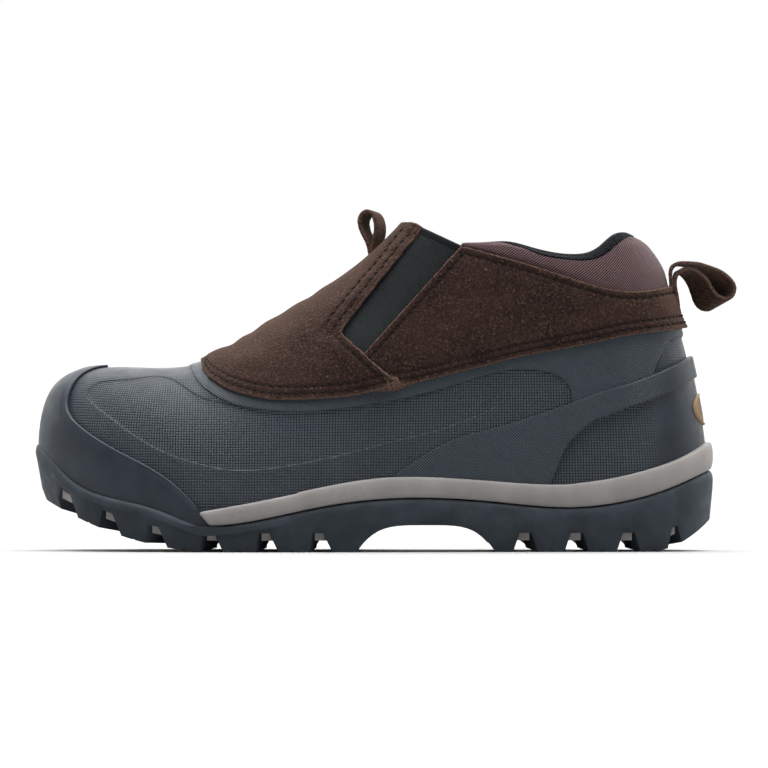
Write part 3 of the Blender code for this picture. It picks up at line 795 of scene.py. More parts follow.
# %% The toe cap
# The cap's upper border: turn, share of the quarter turn up the rib
CAP_BORDER = ((9.25, 0.05), (9.57, 0.103), (10.4, 0.172), (11.45, 0.24), (11.87, 0.3),
              (12.06, 0.4), (12.2, 0.58), (12.32, 0.74), (12.52, 0.88), (13, 0.945))
CAP_RISE = 1.75
CAP_FRONT_RISE = 1.5
CAP_BORDER_DROP = 0.5
CAP_CROWN_DROP = 0.5
# Where the rise changes: along the boot, up the share of each rib, and by height
CAP_FRONT = (284, 298)
CAP_BORDER_SHARE = (0.75, 1)
CAP_CROWN = (72, 82)
SUNK_FOOT = -0.6
CAP_HEIGHT = 45.0
CAP_SPACING = 1.0
CAP_ROWS = 44
LEAST_CAP = 0.02
cap_border = side_line(CAP_BORDER)


def plate_top(turn):
    """The seat of the outsole under the edge of the shell."""
    return feather_at(turn) - GAP


def make_toe_cap():
    """Smooth bumper round the toe, from the outsole to its own border."""
    half = even_turns(CAP_BORDER[0][0], LAST, CAP_HEIGHT, CAP_SPACING)
    turns = np.concatenate([half, -half[-2::-1]])
    spread = np.abs(turns)
    foot = np.maximum(plate_top(turns), bumper_top(along_at(turns)))
    low = rib_angle(turns, foot)
    high = np.maximum(cap_border(spread) * np.pi / 2, low + LEAST_CAP)
    grid = rib_grid(turns, low, high, CAP_ROWS)
    share = np.broadcast_to(np.linspace(0, 1, CAP_ROWS + 1), grid[0].shape)
    sheet = sheet_of([form(*grid)], share=[share])
    rise = (CAP_RISE + CAP_FRONT_RISE * eased(sheet["along"], *CAP_FRONT)
            - CAP_BORDER_DROP * eased(sheet["share"], *CAP_BORDER_SHARE)
            - CAP_CROWN_DROP * eased(sheet["height"], *CAP_CROWN))
    shape = walled(sheet, rise, SUNK_FOOT, bulge=0.7)
    add_piece("toe_bumper", shape, smooth_slate, "cap_rubber", ["toe_cap"])


make_toe_cap()

# %% The heel strap
STRAP_RISE = 1.9
STRAP_FRONT_RISE = 0.9
STRAP_FALL = (40, 110)
STRAP_TEXTURE = (16, 40)
STRAP_END_WIDTH = 2.0
STRAP_END_STEPS = 81
STRAP_HEIGHT = 60.0
STRAP_SPACING = 1.2
STRAP_ROWS = 16
LEAST_STRAP = 0.002


def make_heel_strap():
    """Raised band that sweeps from the stripe up and round the heel."""
    run = np.linspace(STRAP_TOP[-3][0], STRAP_TOP[-1][0], STRAP_END_STEPS)
    end = np.interp(-STRAP_END_WIDTH, stripe_top(run) - strap_top(run), run)
    turns = both_sides(even_turns(0, turn_of(end), STRAP_HEIGHT, STRAP_SPACING))
    foot = rib_angle(turns, stripe_top(along_at(turns)) + GAP)
    low = np.maximum(angle_on(turns, strap_foot), foot)
    high = np.maximum(angle_on(turns, strap_top), low + LEAST_STRAP)
    sheet = form_sheet(rib_grid(turns, low, high, STRAP_ROWS))
    along = sheet["along"]
    rise = STRAP_FRONT_RISE + (STRAP_RISE - STRAP_FRONT_RISE) * (1 - eased(along, *STRAP_FALL))
    shape = walled(sheet, rise, SUNK_FOOT, bulge=0.6)
    outside = np.full(len(along), -FAR)
    add_piece("heel_band", shape, moulded_slate, "shell_rubber", ["heel_strap"],
              **carried(shape, pattern=sheet["pattern"], panel=outside, inner=outside,
                        texture=eased(along, *STRAP_TEXTURE)))


make_heel_strap()

# %% [markdown]
# ## The outsole
# The sole is a dark rubber ring of lugs round a softer taupe core. Slanted grooves cut the
# ring, and the core shows as a pale window at the top of each groove. One section of the
# ring is carried round the sole from station to station, which is how a sweep in any
# modeller works; the grooves and the arch only change how high the section starts.

# %% Finish of the sole rubbers
SOLE_DARK = tone(0.0188, 0.0250, 0.0322)
SOLE_WORN = tone(0.0285, 0.0370, 0.047)
TAUPE_DARK = tone(0.212, 0.199, 0.193)
TAUPE_PALE = tone(0.245, 0.229, 0.221)
TAUPE_GRIME = tone(0.115, 0.105, 0.10)


def sole_rubber():
    """Matte dark rubber with patches of fine diagonal lines, which get a painted highlight, and a worn,
    dusty edge.
    """
    finish = Finish("sole_rubber_finish", Specular_IOR_Level=0.2)
    girth, climb = finish.pattern()
    slant = finish.times(finish.math("SUBTRACT", girth, climb), DIAGONAL)
    patch = finish.step(finish.noise(26.0), 0.48, 0.6)
    ridges = finish.times(finish.lines(slant, DIAGONAL_PITCH), patch)
    ridges = finish.times(ridges, finish.mark("texture"))
    ground = finish.blend(finish.step(finish.noise(14.0), 0.35, 0.7), SOLE_DARK, SOLE_WORN)
    # Painted highlight: the raised diagonal lines are lightened towards the slate highlight colour
    finish.colour(finish.blend(finish.times(ridges, 0.35), ground, SLATE_HIGHLIGHT))
    finish.rough(finish.noise(5.0), 0.5, 0.68)
    finish.bump(ridges, 0.2)
    finish.bump(finish.noise(0.6, 2.0), 0.04)
    return finish.material


def taupe_rubber():
    """Warm grey midsole rubber with faint streaks from the mould."""
    finish = Finish("taupe_rubber_finish", Specular_IOR_Level=0.35)
    streak = finish.noise(12.0, 5.0, (1.0, 1.0, 0.6))
    ground = finish.blend(finish.step(streak, 0.35, 0.7), TAUPE_DARK, TAUPE_PALE)
    grime = finish.step(finish.noise(3.0, 5.0), 0.62, 0.78, 0.0, 0.35)
    finish.colour(finish.blend(grime, ground, TAUPE_GRIME))
    finish.rough(finish.noise(4.0), 0.48, 0.64)
    finish.bump(finish.noise(0.7, 2.0), 0.035)
    return finish.material


sole_finish = sole_rubber()
taupe_finish = taupe_rubber()
print("finishes:", sole_finish.name, "and", taupe_finish.name)

# %% Stations of the tread
GROOVE_COLUMNS = ("centre", "width", "behind", "ahead", "slant")
GROOVE_TABLE = ((16.7, 2.5, 2.0, 2.0, 0), (38, 5.5, 2.8, 2.8, 5), (61.5, 5.5, 2.8, 2.8, 5),
                (84.5, 5.5, 2.8, 2.8, 5), (177.4, 4.5, 4.2, 1.5, -5), (201.7, 4.5, 4.2, 1.5, -5),
                (226.7, 4.5, 4.2, 1.5, -5), (252, 4.5, 4.2, 1.5, -5), (273, 4.5, 4.2, 1.5, -3),
                (293, 4.5, 4.2, 1.5, 0))
GROOVES = [dict(zip(GROOVE_COLUMNS, row)) for row in GROOVE_TABLE]
# Extra stations where the outline turns fastest, at the heel and at the toe
END_STATIONS = (0.3, 0.8, 1.7, 3.2, 5, 7.5, 301, 302.6, 303.7, 304.5)
# Heights above the floor: the roof of a groove, and the core in grooves and at lugs
GROOVE_DEPTH = 8.5
GROOVE_CORE = 5.2
LUG_CORE = 3.0
NICK_WIDTH = 1.4
NICK_DEPTH = 0.8
NICK = ((-0.5, 0), (-0.2, NICK_DEPTH), (0.2, NICK_DEPTH), (0.5, 0))
WIDEST_LUG = 30.0
ARCH_MIDDLE = 129.0
ARCH_HALF = 31.0
ARCH_DEPTH = 12.0
ARCH_STEPS = 25
TREAD_SPACING = 2.4


def groove_rows():
    """The four corners of each groove: outer along, inner along, cut, core."""
    rows = []
    for size in GROOVES:
        rear = size["centre"] - size["width"] / 2
        front = size["centre"] + size["width"] / 2
        for along, cut, core in ((rear - size["behind"], 0, LUG_CORE),
                                 (rear, GROOVE_DEPTH, GROOVE_CORE),
                                 (front, GROOVE_DEPTH, GROOVE_CORE),
                                 (front + size["ahead"], 0, LUG_CORE)):
            rows.append((along, along + size["slant"], cut, core))
    return rows


def tread_rows():
    """All stations from heel to toe, with a small nick in each lug and a round arch."""
    rows = groove_rows()
    slants = np.array([(size["centre"], size["slant"]) for size in GROOVES])
    plain = [(along, 0) for along in (0, *END_STATIONS, SOLE_LENGTH)]
    for (rear, *_), (front, *_) in zip(rows[3::4], rows[4::4]):
        if front - rear < WIDEST_LUG:
            for share, cut in NICK:
                plain.append(((rear + front) / 2 + share * NICK_WIDTH, cut))
    for along, cut in plain:
        rows.append((along, along + np.interp(along, *slants.T), cut, LUG_CORE))
    for share in np.linspace(-1, 1, ARCH_STEPS):
        along = ARCH_MIDDLE + share * ARCH_HALF
        cut = ARCH_DEPTH * (1 - share**4)
        rows.append((along, along, cut, max(cut + 2 * GAP, LUG_CORE)))
    rows = np.array(sorted(rows))
    rows[[0, -1], 1] = rows[[0, -1], 0]
    fine = [rows[0]]
    for before, after in zip(rows, rows[1:]):
        steps = max(1, int(np.ceil((after[0] - before[0]) / TREAD_SPACING)))
        fine.extend(before + (after - before) * step / steps for step in range(1, steps + 1))
    return np.array(fine).T


def loop_of(half):
    """Turns once round the sole, from the heel along the outer side and back."""
    return np.concatenate([half, -half[-2:0:-1]])


tread_outer, tread_inner, tread_cut, tread_core = tread_rows()
print("stations of the tread:", len(tread_outer))

# %% Closed skins through sections
def swept(sections, closed_run=False):
    """A closed skin through closed sections, which runs in a ring or is capped at its ends."""
    count, corners = sections.shape[:2]
    index = np.arange(count * corners).reshape(count, corners)
    rings = np.concatenate([index, index[:1]]) if closed_run else index
    loops = np.concatenate([rings, rings[:, :1]], axis=1)
    faces = [quads_between(loops)]
    if not closed_run:
        for ring in (index[0][::-1], index[-1]):
            faces.append(np.array([(ring[place], ring[place + 1], ring[-2 - place], ring[-1 - place])
                                   for place in range(corners // 2 - 1)]))
    points, faces, kept = welded(sections.reshape(-1, 3), np.concatenate(faces))
    # A skin whose volume comes out negative is inside out
    first, second, third, fourth = (points[faces[:, corner]] for corner in range(4))
    volume = (np.cross(third - first, fourth - second) * (first + third)).sum()
    return {"points": points, "faces": faces if volume > 0 else faces[:, ::-1], "origin": kept}


# %% The lug ring
HEEL_ROLL = 30.0
HEEL_ROLL_RATE = 0.0175
TOE_SPRING = 222.0
TOE_SPRING_RATE = 0.00375
RING_WIDTH = 16.0
RIM_WIDTH = 3.5
LUG_LEAN = {"side": 1.5, "toe": 5.0}
SIDE_LEAN = {"side": 0.3, "toe": 1.5}
TOE_LEAN_ALONG = (284, 302)
TOE_ROUND = 0.8
# How far up the side swells, as a share of its height
BELLY = 0.35
# The fine lines start this far off the floor and end this far along
HATCH_LIFT = (9, 14)
HATCH_END = (205, 225)
# The lip at the top of the ring: inset, drop
LIP = ((0.0, 4.2), (0.25, 2.3), (0.8, 0.9), (1.6, 0.15), (2.5, 0.0))
LUG_ROUND = 0.45
LUG_TILT = 1.8
SHARP_EDGE = 38.0


def floor_at(along):
    """How far the underside of the tread stands off the floor: heel roll and toe spring."""
    behind = np.clip(HEEL_ROLL - along, 0, None)
    ahead = np.clip(along - TOE_SPRING, 0, None)
    return HEEL_ROLL_RATE * behind**2 + TOE_SPRING_RATE * ahead**2


def raised(plan, height):
    """Plan points lifted to their heights."""
    return np.concatenate([plan, np.broadcast_to(height, plan.shape[:-1])[..., None]], axis=-1)


def inner_seat(plan):
    """The seat further in, where the ring meets the tread's core."""
    return plate_top(turn_of(along_of(plan)))


def sharpened(piece):
    """Keep steep edges sharp in the shading."""
    piece.data.set_sharp_from_angle(angle=np.radians(SHARP_EDGE))


def make_lug_ring():
    """Rubber ring with lugs, slanted grooves, an arch and a lip that rises round the toe."""
    outer = loop_of(turn_of(tread_outer))
    inner = loop_of(turn_of(tread_inner))
    cut = np.concatenate([tread_cut, tread_cut[-2:0:-1]])
    plate = plate_top(outer)
    along = along_at(outer)
    top = np.where(along > BUMPER_TOP[0][0], np.maximum(plate, bumper_top(along)), plate)
    roof = np.maximum(cut, GROOVE_DEPTH) + LUG_CORE

    def edge(turn, inset, lift):
        plan = sole_edge(turn, inset)
        return raised(plan, floor_at(along_of(plan)) + lift)

    ring_plan = sole_edge(inner, RING_WIDTH)
    toe = eased(along, *TOE_LEAN_ALONG)
    lean, side = (size["side"] + (size["toe"] - size["side"]) * toe for size in (LUG_LEAN, SIDE_LEAN))
    sections = [edge(outer, lean, cut),
                edge(outer, (1 - BELLY) * lean + BELLY * side - TOE_ROUND * toe,
                     (1 - BELLY) * cut + BELLY * roof),
                edge(outer, side, roof)]
    sections += [raised(sole_edge(outer, inset), top - drop) for inset, drop in LIP]
    sections += [raised(sole_edge(outer, RIM_WIDTH), plate),
                 raised(ring_plan, inner_seat(ring_plan)), edge(inner, RING_WIDTH, cut + LUG_TILT)]
    shape = swept(np.stack(sections, axis=1), closed_run=True)
    girth = np.repeat(np.abs(girth_at(outer)), len(sections))
    height = shape["points"][:, 2]
    along = along_of(shape["points"])
    texture = eased(height - floor_at(along), *HATCH_LIFT) * (1 - eased(along, *HATCH_END))
    ring = add_piece("lug_ring", shape, sole_finish, "sole_rubber", ["outsole"],
                     pattern=flat(girth[shape["origin"]], height), texture=texture)
    sharpened(ring)
    rounding = ring.modifiers.new("rounded_lugs", "BEVEL")
    rounding.width = LUG_ROUND * MILLIMETRE
    rounding.segments = 2
    rounding.limit_method = "ANGLE"
    rounding.angle_limit = np.radians(SHARP_EDGE)
    rounding.harden_normals = True


make_lug_ring()

# %% The tread's core and the stripe
STRIPE_BULGE = 1.5
STRIPE_END = {"top": 231.0, "foot": 227.0}
STRIPE_DEPTH = 6.0
STRIPE_STEPS = 12
# Small steps in the top edge, as the mould left them: along, rise
STRIPE_JOGS = ((186.0, 0.5), (62.0, 0.35))
JOG_HALF = 0.8
STRIPE_SPACING = 1.6
# How the section shrinks to round off each end: share of the run, size
STRIPE_TIP = ((0.993, 1), (0.997, 0.97), (0.999, 0.88), (1, 0.7))
STRIPE_SEAT = 0.1
SEAT_RANGE = (221.0, 233.5)
SEAT_INSETS = (1.9, 5.5)
SEAT_STEPS = 16
SEAT_LAP = 1.0
WINDOW_INSET = 3.4
WINDOW_STEPS = 4
WINDOW_LAP = 1.0


def joined(shapes):
    """Several closed skins as one mesh."""
    counts = np.cumsum([0] + [len(shape["points"]) for shape in shapes])
    return {"points": np.concatenate([shape["points"] for shape in shapes]),
            "faces": np.concatenate([shape["faces"] + first
                                     for shape, first in zip(shapes, counts)])}


def groove_windows():
    """Arms of the core that fill the roof of each groove up to just behind the side."""
    arms = []
    inset = np.linspace(WINDOW_INSET, RING_WIDTH + WINDOW_LAP, WINDOW_STEPS)
    for size in GROOVES:
        for side in (1, -1):
            corners = []
            for edge, lift in ((-0.5, GROOVE_CORE), (0.5, GROOVE_CORE),
                               (0.5, GROOVE_DEPTH + GAP), (-0.5, GROOVE_DEPTH + GAP)):
                along = size["centre"] + edge * size["width"] + size["slant"] * inset / RING_WIDTH
                plan = sole_edge(side * turn_of(along), inset)
                corners.append(raised(plan, floor_at(along_of(plan)) + lift))
            arms.append(swept(np.stack(corners, axis=1)))
    return arms


def make_tread_core():
    """Taupe block inside the ring, which shows in the grooves and underneath."""
    inner = turn_of(tread_inner)
    sections = []
    for side in (1, -1):
        plan = sole_edge(side * inner, RING_WIDTH + GAP)
        top = raised(plan, inner_seat(plan) + GAP)
        foot = raised(plan, floor_at(along_of(plan)) + tread_core)
        sections += [top, foot] if side > 0 else [foot, top]
    shape = joined([swept(np.stack(sections, axis=1)), *groove_windows()])
    core = add_piece("tread_core", shape, taupe_finish, "stripe_rubber")
    sharpened(core)


def make_stripe():
    """Bulged taupe band round the side, with slanted, rounded front ends."""
    bow = np.linspace(0, np.pi, STRIPE_STEPS)
    insets = np.concatenate([STRIPE_BULGE * (1 - np.sin(bow)), [STRIPE_DEPTH, STRIPE_DEPTH]])
    levels = np.concatenate([(1 + np.cos(bow)) / 2, [0.0, 1.0]])
    ends = turn_of(STRIPE_END["foot"] + (STRIPE_END["top"] - STRIPE_END["foot"]) * levels)
    count = int(2 * girth_at(ends[0]) / STRIPE_SPACING)
    tip, size = np.transpose(STRIPE_TIP)
    shares = np.concatenate([-tip[:0:-1], np.linspace(-tip[0], tip[0], count), tip[1:]])
    shrink = np.interp(np.abs(shares), tip, size)
    turns = shares[:, None] * ends
    along = along_at(turns)
    foot = feather_at(turns) + STRIPE_SEAT
    top = stripe_top(along)
    for place, rise in STRIPE_JOGS:
        top = top + rise * (1 - eased(along, place - JOG_HALF, place + JOG_HALF))
    level = 0.5 + (levels - 0.5) * shrink[:, None]
    inset = insets + STRIPE_BULGE * (1 - shrink[:, None])
    sections = raised(sole_edge(turns, inset), foot + (top - foot) * level)
    add_piece("stripe", swept(sections), taupe_finish, "stripe_rubber", ["midsole"])


def make_stripe_seat():
    """Dark rubber behind the stripe's front ends, which closes the corner under the toe cap."""
    seats = []
    for side in (1, -1):
        turns = side * turn_of(np.linspace(*SEAT_RANGE, SEAT_STEPS))
        low = plate_top(turns) - GAP
        high = stripe_top(along_at(turns)) + SEAT_LAP
        face, back = (sole_edge(turns, inset) for inset in SEAT_INSETS)
        corners = (raised(face, low), raised(face, high), raised(back, high), raised(back, low))
        seats.append(swept(np.stack(corners, axis=1)))
    seat = add_piece("stripe_seat", joined(seats), smooth_slate, "shell_rubber")
    sharpened(seat)


make_tread_core()
make_stripe()
make_stripe_seat()

# %% [markdown]
# ## The suede upper
# The upper is cut from two hides of brown suede: quarters that wrap the heel, and a vamp over
# the front of the foot whose rear edge laps over the quarters below the gore. Each is a sheet
# between the lines that a pattern cutter would draw. Troughs along the sewn rows, puffed
# leather between them and a few soft creases are relief in the wall; nap and
# pores are bump. A cloth simulation would flatten the sewn shape, so none is run.

# %% Finish of the suede
SUEDE_DARK = tone(0.0158, 0.0088, 0.0074)
SUEDE_BROWN = tone(0.0278, 0.0154, 0.0125)
SUEDE_NAP = tone(0.065, 0.0382, 0.0315)
# Painted shade in the furrows along the sewn rows
SUEDE_FURROW_SHADE = tone(0.008, 0.0046, 0.0038)
RAW_HIDE = tone(0.100, 0.062, 0.048)


def suede():
    """Napped leather: mottled, pale where the nap stands up, paler still at raw edges, with painted shade
    in the furrows along the sewn rows.
    """
    finish = Finish("brown_suede", Sheen_Weight=0.2, Sheen_Roughness=0.45,
                    Sheen_Tint=tone(0.75, 0.5, 0.38), Specular_IOR_Level=0.05)
    brushed = finish.step(finish.noise(16.0, 3.0), 0.3, 0.72)
    nap = finish.step(finish.noise(1.0, 5.0), 0.4, 0.7)
    fibre = finish.noise(0.4, 3.0)
    ground = finish.blend(brushed, SUEDE_DARK, SUEDE_BROWN)
    ground = finish.blend(finish.times(nap, 0.65), ground, SUEDE_NAP)
    flecks = finish.step(finish.noise(1.0, 1.0), 0.66, 0.76, 0.0, 0.7)
    ground = finish.blend(flecks, ground, RAW_HIDE)
    # Painted shade: the ground darkens in the furrows along the sewn rows, where shade falls
    sunk = finish.step(finish.mark("furrow"), 0.1, 1.0, 0.0, 0.65)
    ground = finish.blend(sunk, ground, SUEDE_FURROW_SHADE)
    raw = finish.times(finish.step(finish.mark("raw"), 0.35, 0.9),
                       finish.step(finish.noise(0.9, 3.0), 0.3, 0.6))
    finish.colour(finish.blend(raw, ground, RAW_HIDE))
    finish.rough(fibre, 0.82, 0.98)
    finish.bump(nap, 0.16)
    finish.bump(fibre, 0.2)
    return finish.material


suede_finish = suede()
print("finish:", suede_finish.name)

# %% Cutting lines and creases of the upper
SLOT = {"top_front": (131.4, 144.9), "top_rear": (113.0, 136.2),
        "foot_rear": (157.2, 86.9), "foot_front": (168.2, 97.3)}
SEAM_FOOT = (140.8, 72.2)
SEAM_START = (145.0, 76.4)
SEAM_SLOPE = (SLOT["foot_front"][1] - SEAM_FOOT[1]) / (SLOT["foot_front"][0] - SEAM_FOOT[0])
SEAM_LAP = 8.0
HEM_ROWS = (1.9, 5.0)
EDGE_ROW = 2.3
SECOND_ROW = 6.2
FURROW_HALF = 0.8
FURROW_DEPTH = 0.3
CREASE_RIDGE = 0.5

# Soft creases: along, height, slope in degrees, half length, half width, depth
CREASES = ((214, 88, 58, 13, 3.2, 0.5), (203, 90, 64, 15, 3.6, 0.55), (190, 95, 70, 16, 4, 0.5),
           (178, 108, 62, 12, 3.5, 0.5), (143, 134, 22, 5, 1.1, 0.75), (149, 127, 18, 5, 1.0, 0.65),
           (136, 142, 30, 4, 1.0, 0.7), (155, 118, 15, 5, 1.2, 0.6), (161, 109, 12, 5, 1.2, 0.5),
           (172, 92, 66, 11, 4, 0.55), (122, 104, 40, 9, 3, 0.35), (94, 112, 12, 16, 4, 0.4),
           (60, 106, -8, 15, 3.5, 0.4), (28, 108, 75, 7, 2.5, 0.4))


def straight(first, second):
    """A straight line in side view through two places."""
    slope = (second[1] - first[1]) / (second[0] - first[0])
    return lambda along: first[1] + (along - first[0]) * slope


def beside(along, height, first, second):
    """Distance from a straight line in side view, plus on its left going from first to second."""
    run = unit(np.array(second) - np.array(first))
    return (height - first[1]) * run[0] - (along - first[0]) * run[1]


def troughs(along, height):
    """The soft creases, as a depth below the smooth surface, each with a low ridge beside it."""
    total = 0 * along
    for place, level, slope, length, width, depth in CREASES:
        lean = np.radians(slope)
        run = (along - place) * np.cos(lean) + (height - level) * np.sin(lean)
        side = (height - level) * np.cos(lean) - (along - place) * np.sin(lean)
        ridge = CREASE_RIDGE * np.exp(-((side - 2 * width) / width)**2)
        swell = np.exp(-(side / width)**2) - ridge
        total = total + depth * swell * np.exp(-(run / length)**2)
    return total


slot_rear = straight(SLOT["foot_rear"], SLOT["top_rear"])
slot_front = straight(SLOT["foot_front"], SLOT["top_front"])
seam = straight(SEAM_FOOT, SLOT["foot_front"])
under_seam = straight(*[(along + SEAM_LAP, height) for along, height in
                        (SEAM_FOOT, SLOT["foot_front"])])


def furrows(distances):
    """How deep a point lies in the nearest of several sewn rows, from 0 to 1."""
    return np.max([np.exp(-(distance / FURROW_HALF)**2) for distance in distances], axis=0)


print("soft creases:", len(CREASES))


# %% The quarters
QUARTER_FACE = 2.0
QUARTER_WALL = 1.5
QUARTER_PUFF = 0.55
PUFF_START = (HEM_ROWS[1], 15)
PUFF_END = (1, 9)
# The hem stands off at the back of the heel: by how much, over what height, and how far along
HEM_FLARE = 1.2
FLARE_HEIGHT = 3.5
FLARE_END = (16, 36)
UPPER_SPACING = 1.1
QUARTER_HEIGHT = 105.0
QUARTER_ROWS = 48
QUARTER_END_TURNS = np.linspace(4.5, 8, 351)


def quarter_furrows(along, height):
    """Sewn rows on the quarters: along the hem, the top edge and the slot."""
    hem = height - suede_hem(along)
    slot_side = beside(along, height, SLOT["foot_rear"], SLOT["top_rear"])
    return furrows([hem - row for row in HEM_ROWS]
                   + [suede_top(along) - height - EDGE_ROW, slot_side - EDGE_ROW])


def quarter_face(along, height):
    """How far the quarters' face stands off the form."""
    hem = height - suede_hem(along)
    flare = HEM_FLARE * np.exp(-hem / FLARE_HEIGHT) * (1 - eased(along, *FLARE_END))
    puff = (QUARTER_PUFF * eased(hem, *PUFF_START)
            * eased(suede_top(along) - height, *PUFF_END))
    return (QUARTER_FACE + flare + puff - FURROW_DEPTH * quarter_furrows(along, height)
            - troughs(along, height))


FRAY_WAVES = np.array([(2.1, 1.3, 2.7), (-3.7, 2.2, 1.9), (5.3, -4.1, 3.1)])
FRAY_MEAN = 0.9
FRAY_SWING = 0.13
RAGGED_END = (144.0, 75.0)
RAGGED_SIZE = (8, 4)
RAGGED_BULGE = 3.0
RAGGED_FUZZ = 0.9
FUZZ_FALL = 1.5


def frayed(points):
    """An uneven bulge along a cut edge."""
    return FRAY_MEAN + FRAY_SWING * np.sin(points @ FRAY_WAVES.T).sum(axis=-1)


def add_suede(name, sheet, face, furrow, wall, replaces):
    """One hide with its raw edges, sewn rows and relief, and a ragged end at the seam's foot."""
    ragged = np.hypot((sheet["along"] - RAGGED_END[0]) / RAGGED_SIZE[0],
                      (sheet["height"] - RAGGED_END[1]) / RAGGED_SIZE[1])
    bulge = frayed(sheet["points"]) * (1 + RAGGED_BULGE * np.exp(-ragged**2))
    shape = walled(sheet, face, face - wall, bulge)
    fuzzy = RAGGED_FUZZ * np.exp(-FUZZ_FALL * ragged**2)[shape["origin"]]
    add_piece(name, shape, suede_finish, "suede", replaces,
              furrow=furrow[shape["origin"]], raw=np.maximum(shape["rim"], fuzzy))


def make_quarters():
    """Suede round the heel, up to the slots and on under the edge of the vamp."""
    ends = QUARTER_END_TURNS
    space = (angle_on(ends, slot_rear)
             - np.maximum(angle_on(ends, suede_hem), angle_on(ends, under_seam)))
    front = ends[np.argmax(space < 0)]
    corner = turn_at(*SLOT["top_rear"])
    turns = both_sides(even_turns(0, front, QUARTER_HEIGHT, UPPER_SPACING, corner))
    spread = np.abs(turns)
    low = np.maximum(angle_on(turns, suede_hem),
                     np.where(spread > ends[0], angle_on(turns, under_seam), 0))
    high = np.where(spread > corner, angle_on(turns, slot_rear), angle_on(turns, suede_top))
    sheet = form_sheet(rib_grid(turns, low, np.maximum(high, low), QUARTER_ROWS))
    along, height = sheet["along"], sheet["height"]
    add_suede("suede_quarters", sheet, quarter_face(along, height),
              quarter_furrows(along, height), QUARTER_WALL, ["upper"])


make_quarters()

# %% The vamp
VAMP_FACE = 2.2
VAMP_WALL = 1.7
VAMP_LAP = 1.75
VAMP_RIDGE_DROP = 1.4
VAMP_PUFF = 0.7
# Where each change starts and ends: above the hem, ahead of the seam, by height or below the ridge
VAMP_CHANGES = {"lap ahead": (7, 20), "lap height": (88, 98), "puff height": (112, 132),
                "drop above hem": (9, 22), "drop below ridge": (-16, -3)}
# Heights between which the sewn rows run, and a distance for points far from any row
SLOT_ROW_FOOT = 96
LAP_ROW_TOP = 99
NO_ROW = 99
SLOT_ROUND = 3.6
VAMP_HEIGHT = 88.0
VAMP_ROWS = {"low": 26, "high": 44}
VAMP_FIRST_TURN = 6
vamp_turns = SEARCH[SEARCH >= VAMP_FIRST_TURN]


def vamp_furrows(along, height):
    """Sewn rows on the vamp: along the hem, the slot's front edge and the lapped seam."""
    hem = height - suede_hem(along)
    front = -beside(along, height, SLOT["foot_front"], SLOT["top_front"])
    lap = -beside(along, height, SEAM_FOOT, SLOT["foot_front"])
    front = np.where(height > SLOT_ROW_FOOT, front, NO_ROW)
    lap = np.where(height < LAP_ROW_TOP, lap, NO_ROW)
    return furrows([hem - row for row in HEM_ROWS]
                   + [front - EDGE_ROW, front - SECOND_ROW, lap - EDGE_ROW])


def vamp_face(along, height):
    """How far the vamp's face stands off the form, higher where it laps over the quarters."""
    def past(value, change):
        return eased(value, *VAMP_CHANGES[change])

    hem = height - suede_hem(along)
    ahead = along - SEAM_FOOT[0] - (height - SEAM_FOOT[1]) / SEAM_SLOPE
    ridge = np.interp(along, column["ridge_along"](vamp_turns), column["ridge_height"](vamp_turns))
    lap = VAMP_LAP * (1 - past(ahead, "lap ahead")) * (1 - past(height, "lap height"))
    puff = VAMP_PUFF * eased(hem, *PUFF_START) * (1 - past(height, "puff height"))
    drop = (VAMP_RIDGE_DROP * past(hem, "drop above hem")
            * past(height - ridge, "drop below ridge"))
    return (VAMP_FACE + lap + puff - drop - FURROW_DEPTH * vamp_furrows(along, height)
            - troughs(along, height))


def vamp_grids(side):
    """The vamp's half on one side: a band below the slot's corner and a band above it."""
    tip = ridge_meeting(suede_hem, *TIP_TURNS)
    peak = ridge_meeting(suede_top, *PEAK_TURNS)
    corner = turn_at(*SLOT["foot_front"])
    first_low = turn_at(*SEAM_FOOT)
    first_high = turn_at(*SLOT["top_front"])
    turns = even_turns(min(first_low, first_high), tip, VAMP_HEIGHT, UPPER_SPACING,
                       first_low, first_high, corner, peak)
    hem = np.where(turns >= tip, np.pi / 2, angle_on(turns, suede_hem))
    top = np.where(turns >= peak, np.pi / 2, angle_on(turns, suede_top))
    below = angle_on(turns, seam)
    above = angle_on(turns, slot_front)
    # An arc rounds the slot's lower corner: near it, the gap is only as wide as the arc
    centre = (below + above) / 2
    reach = SLOT["foot_front"][0] - along_of(form(turns, centre))
    arc_middle = SLOT_ROUND * np.sqrt(2)
    arc = np.sqrt(np.clip(SLOT_ROUND**2 - (reach - arc_middle)**2, 0, None))
    ease = np.clip(arc / np.maximum(reach, TINY), 0, 1)
    ease = np.where(reach > arc_middle - SLOT_ROUND / np.sqrt(2), 1, ease)
    half_gap = np.where(turns < corner, (above - below) / 2 * ease, 0)
    share = np.interp(corner, turns, (centre - hem) / (top - hem))
    middle = np.where(turns < corner, centre, hem + share * (top - hem))
    bands = []
    for first, low, high, rows in ((first_low, hem, middle - half_gap, VAMP_ROWS["low"]),
                                   (first_high, middle + half_gap, top, VAMP_ROWS["high"])):
        kept = turns >= first - TINY
        grid_turn, grid_angle = rib_grid(side * turns[kept], low[kept],
                                         np.maximum(high, low)[kept], rows)
        bands.append((grid_turn[::side], grid_angle[::side]))
    return bands


def make_vamp():
    """Suede over the front of the foot, from the slots to the hem on the shell."""
    sheet = form_sheet(*vamp_grids(1), *vamp_grids(-1))
    along, height = sheet["along"], sheet["height"]
    add_suede("suede_vamp", sheet, vamp_face(along, height), vamp_furrows(along, height),
              VAMP_WALL, [])


make_vamp()

# %% [markdown]
# ## Elastic gores
# A gore is a wedge of ribbed elastic set behind a slot, so that the boot stretches over the
# heel. Its ribs run across the slot. They are cut into the mesh, one small wave for each rib,
# because they show along the top edge too.

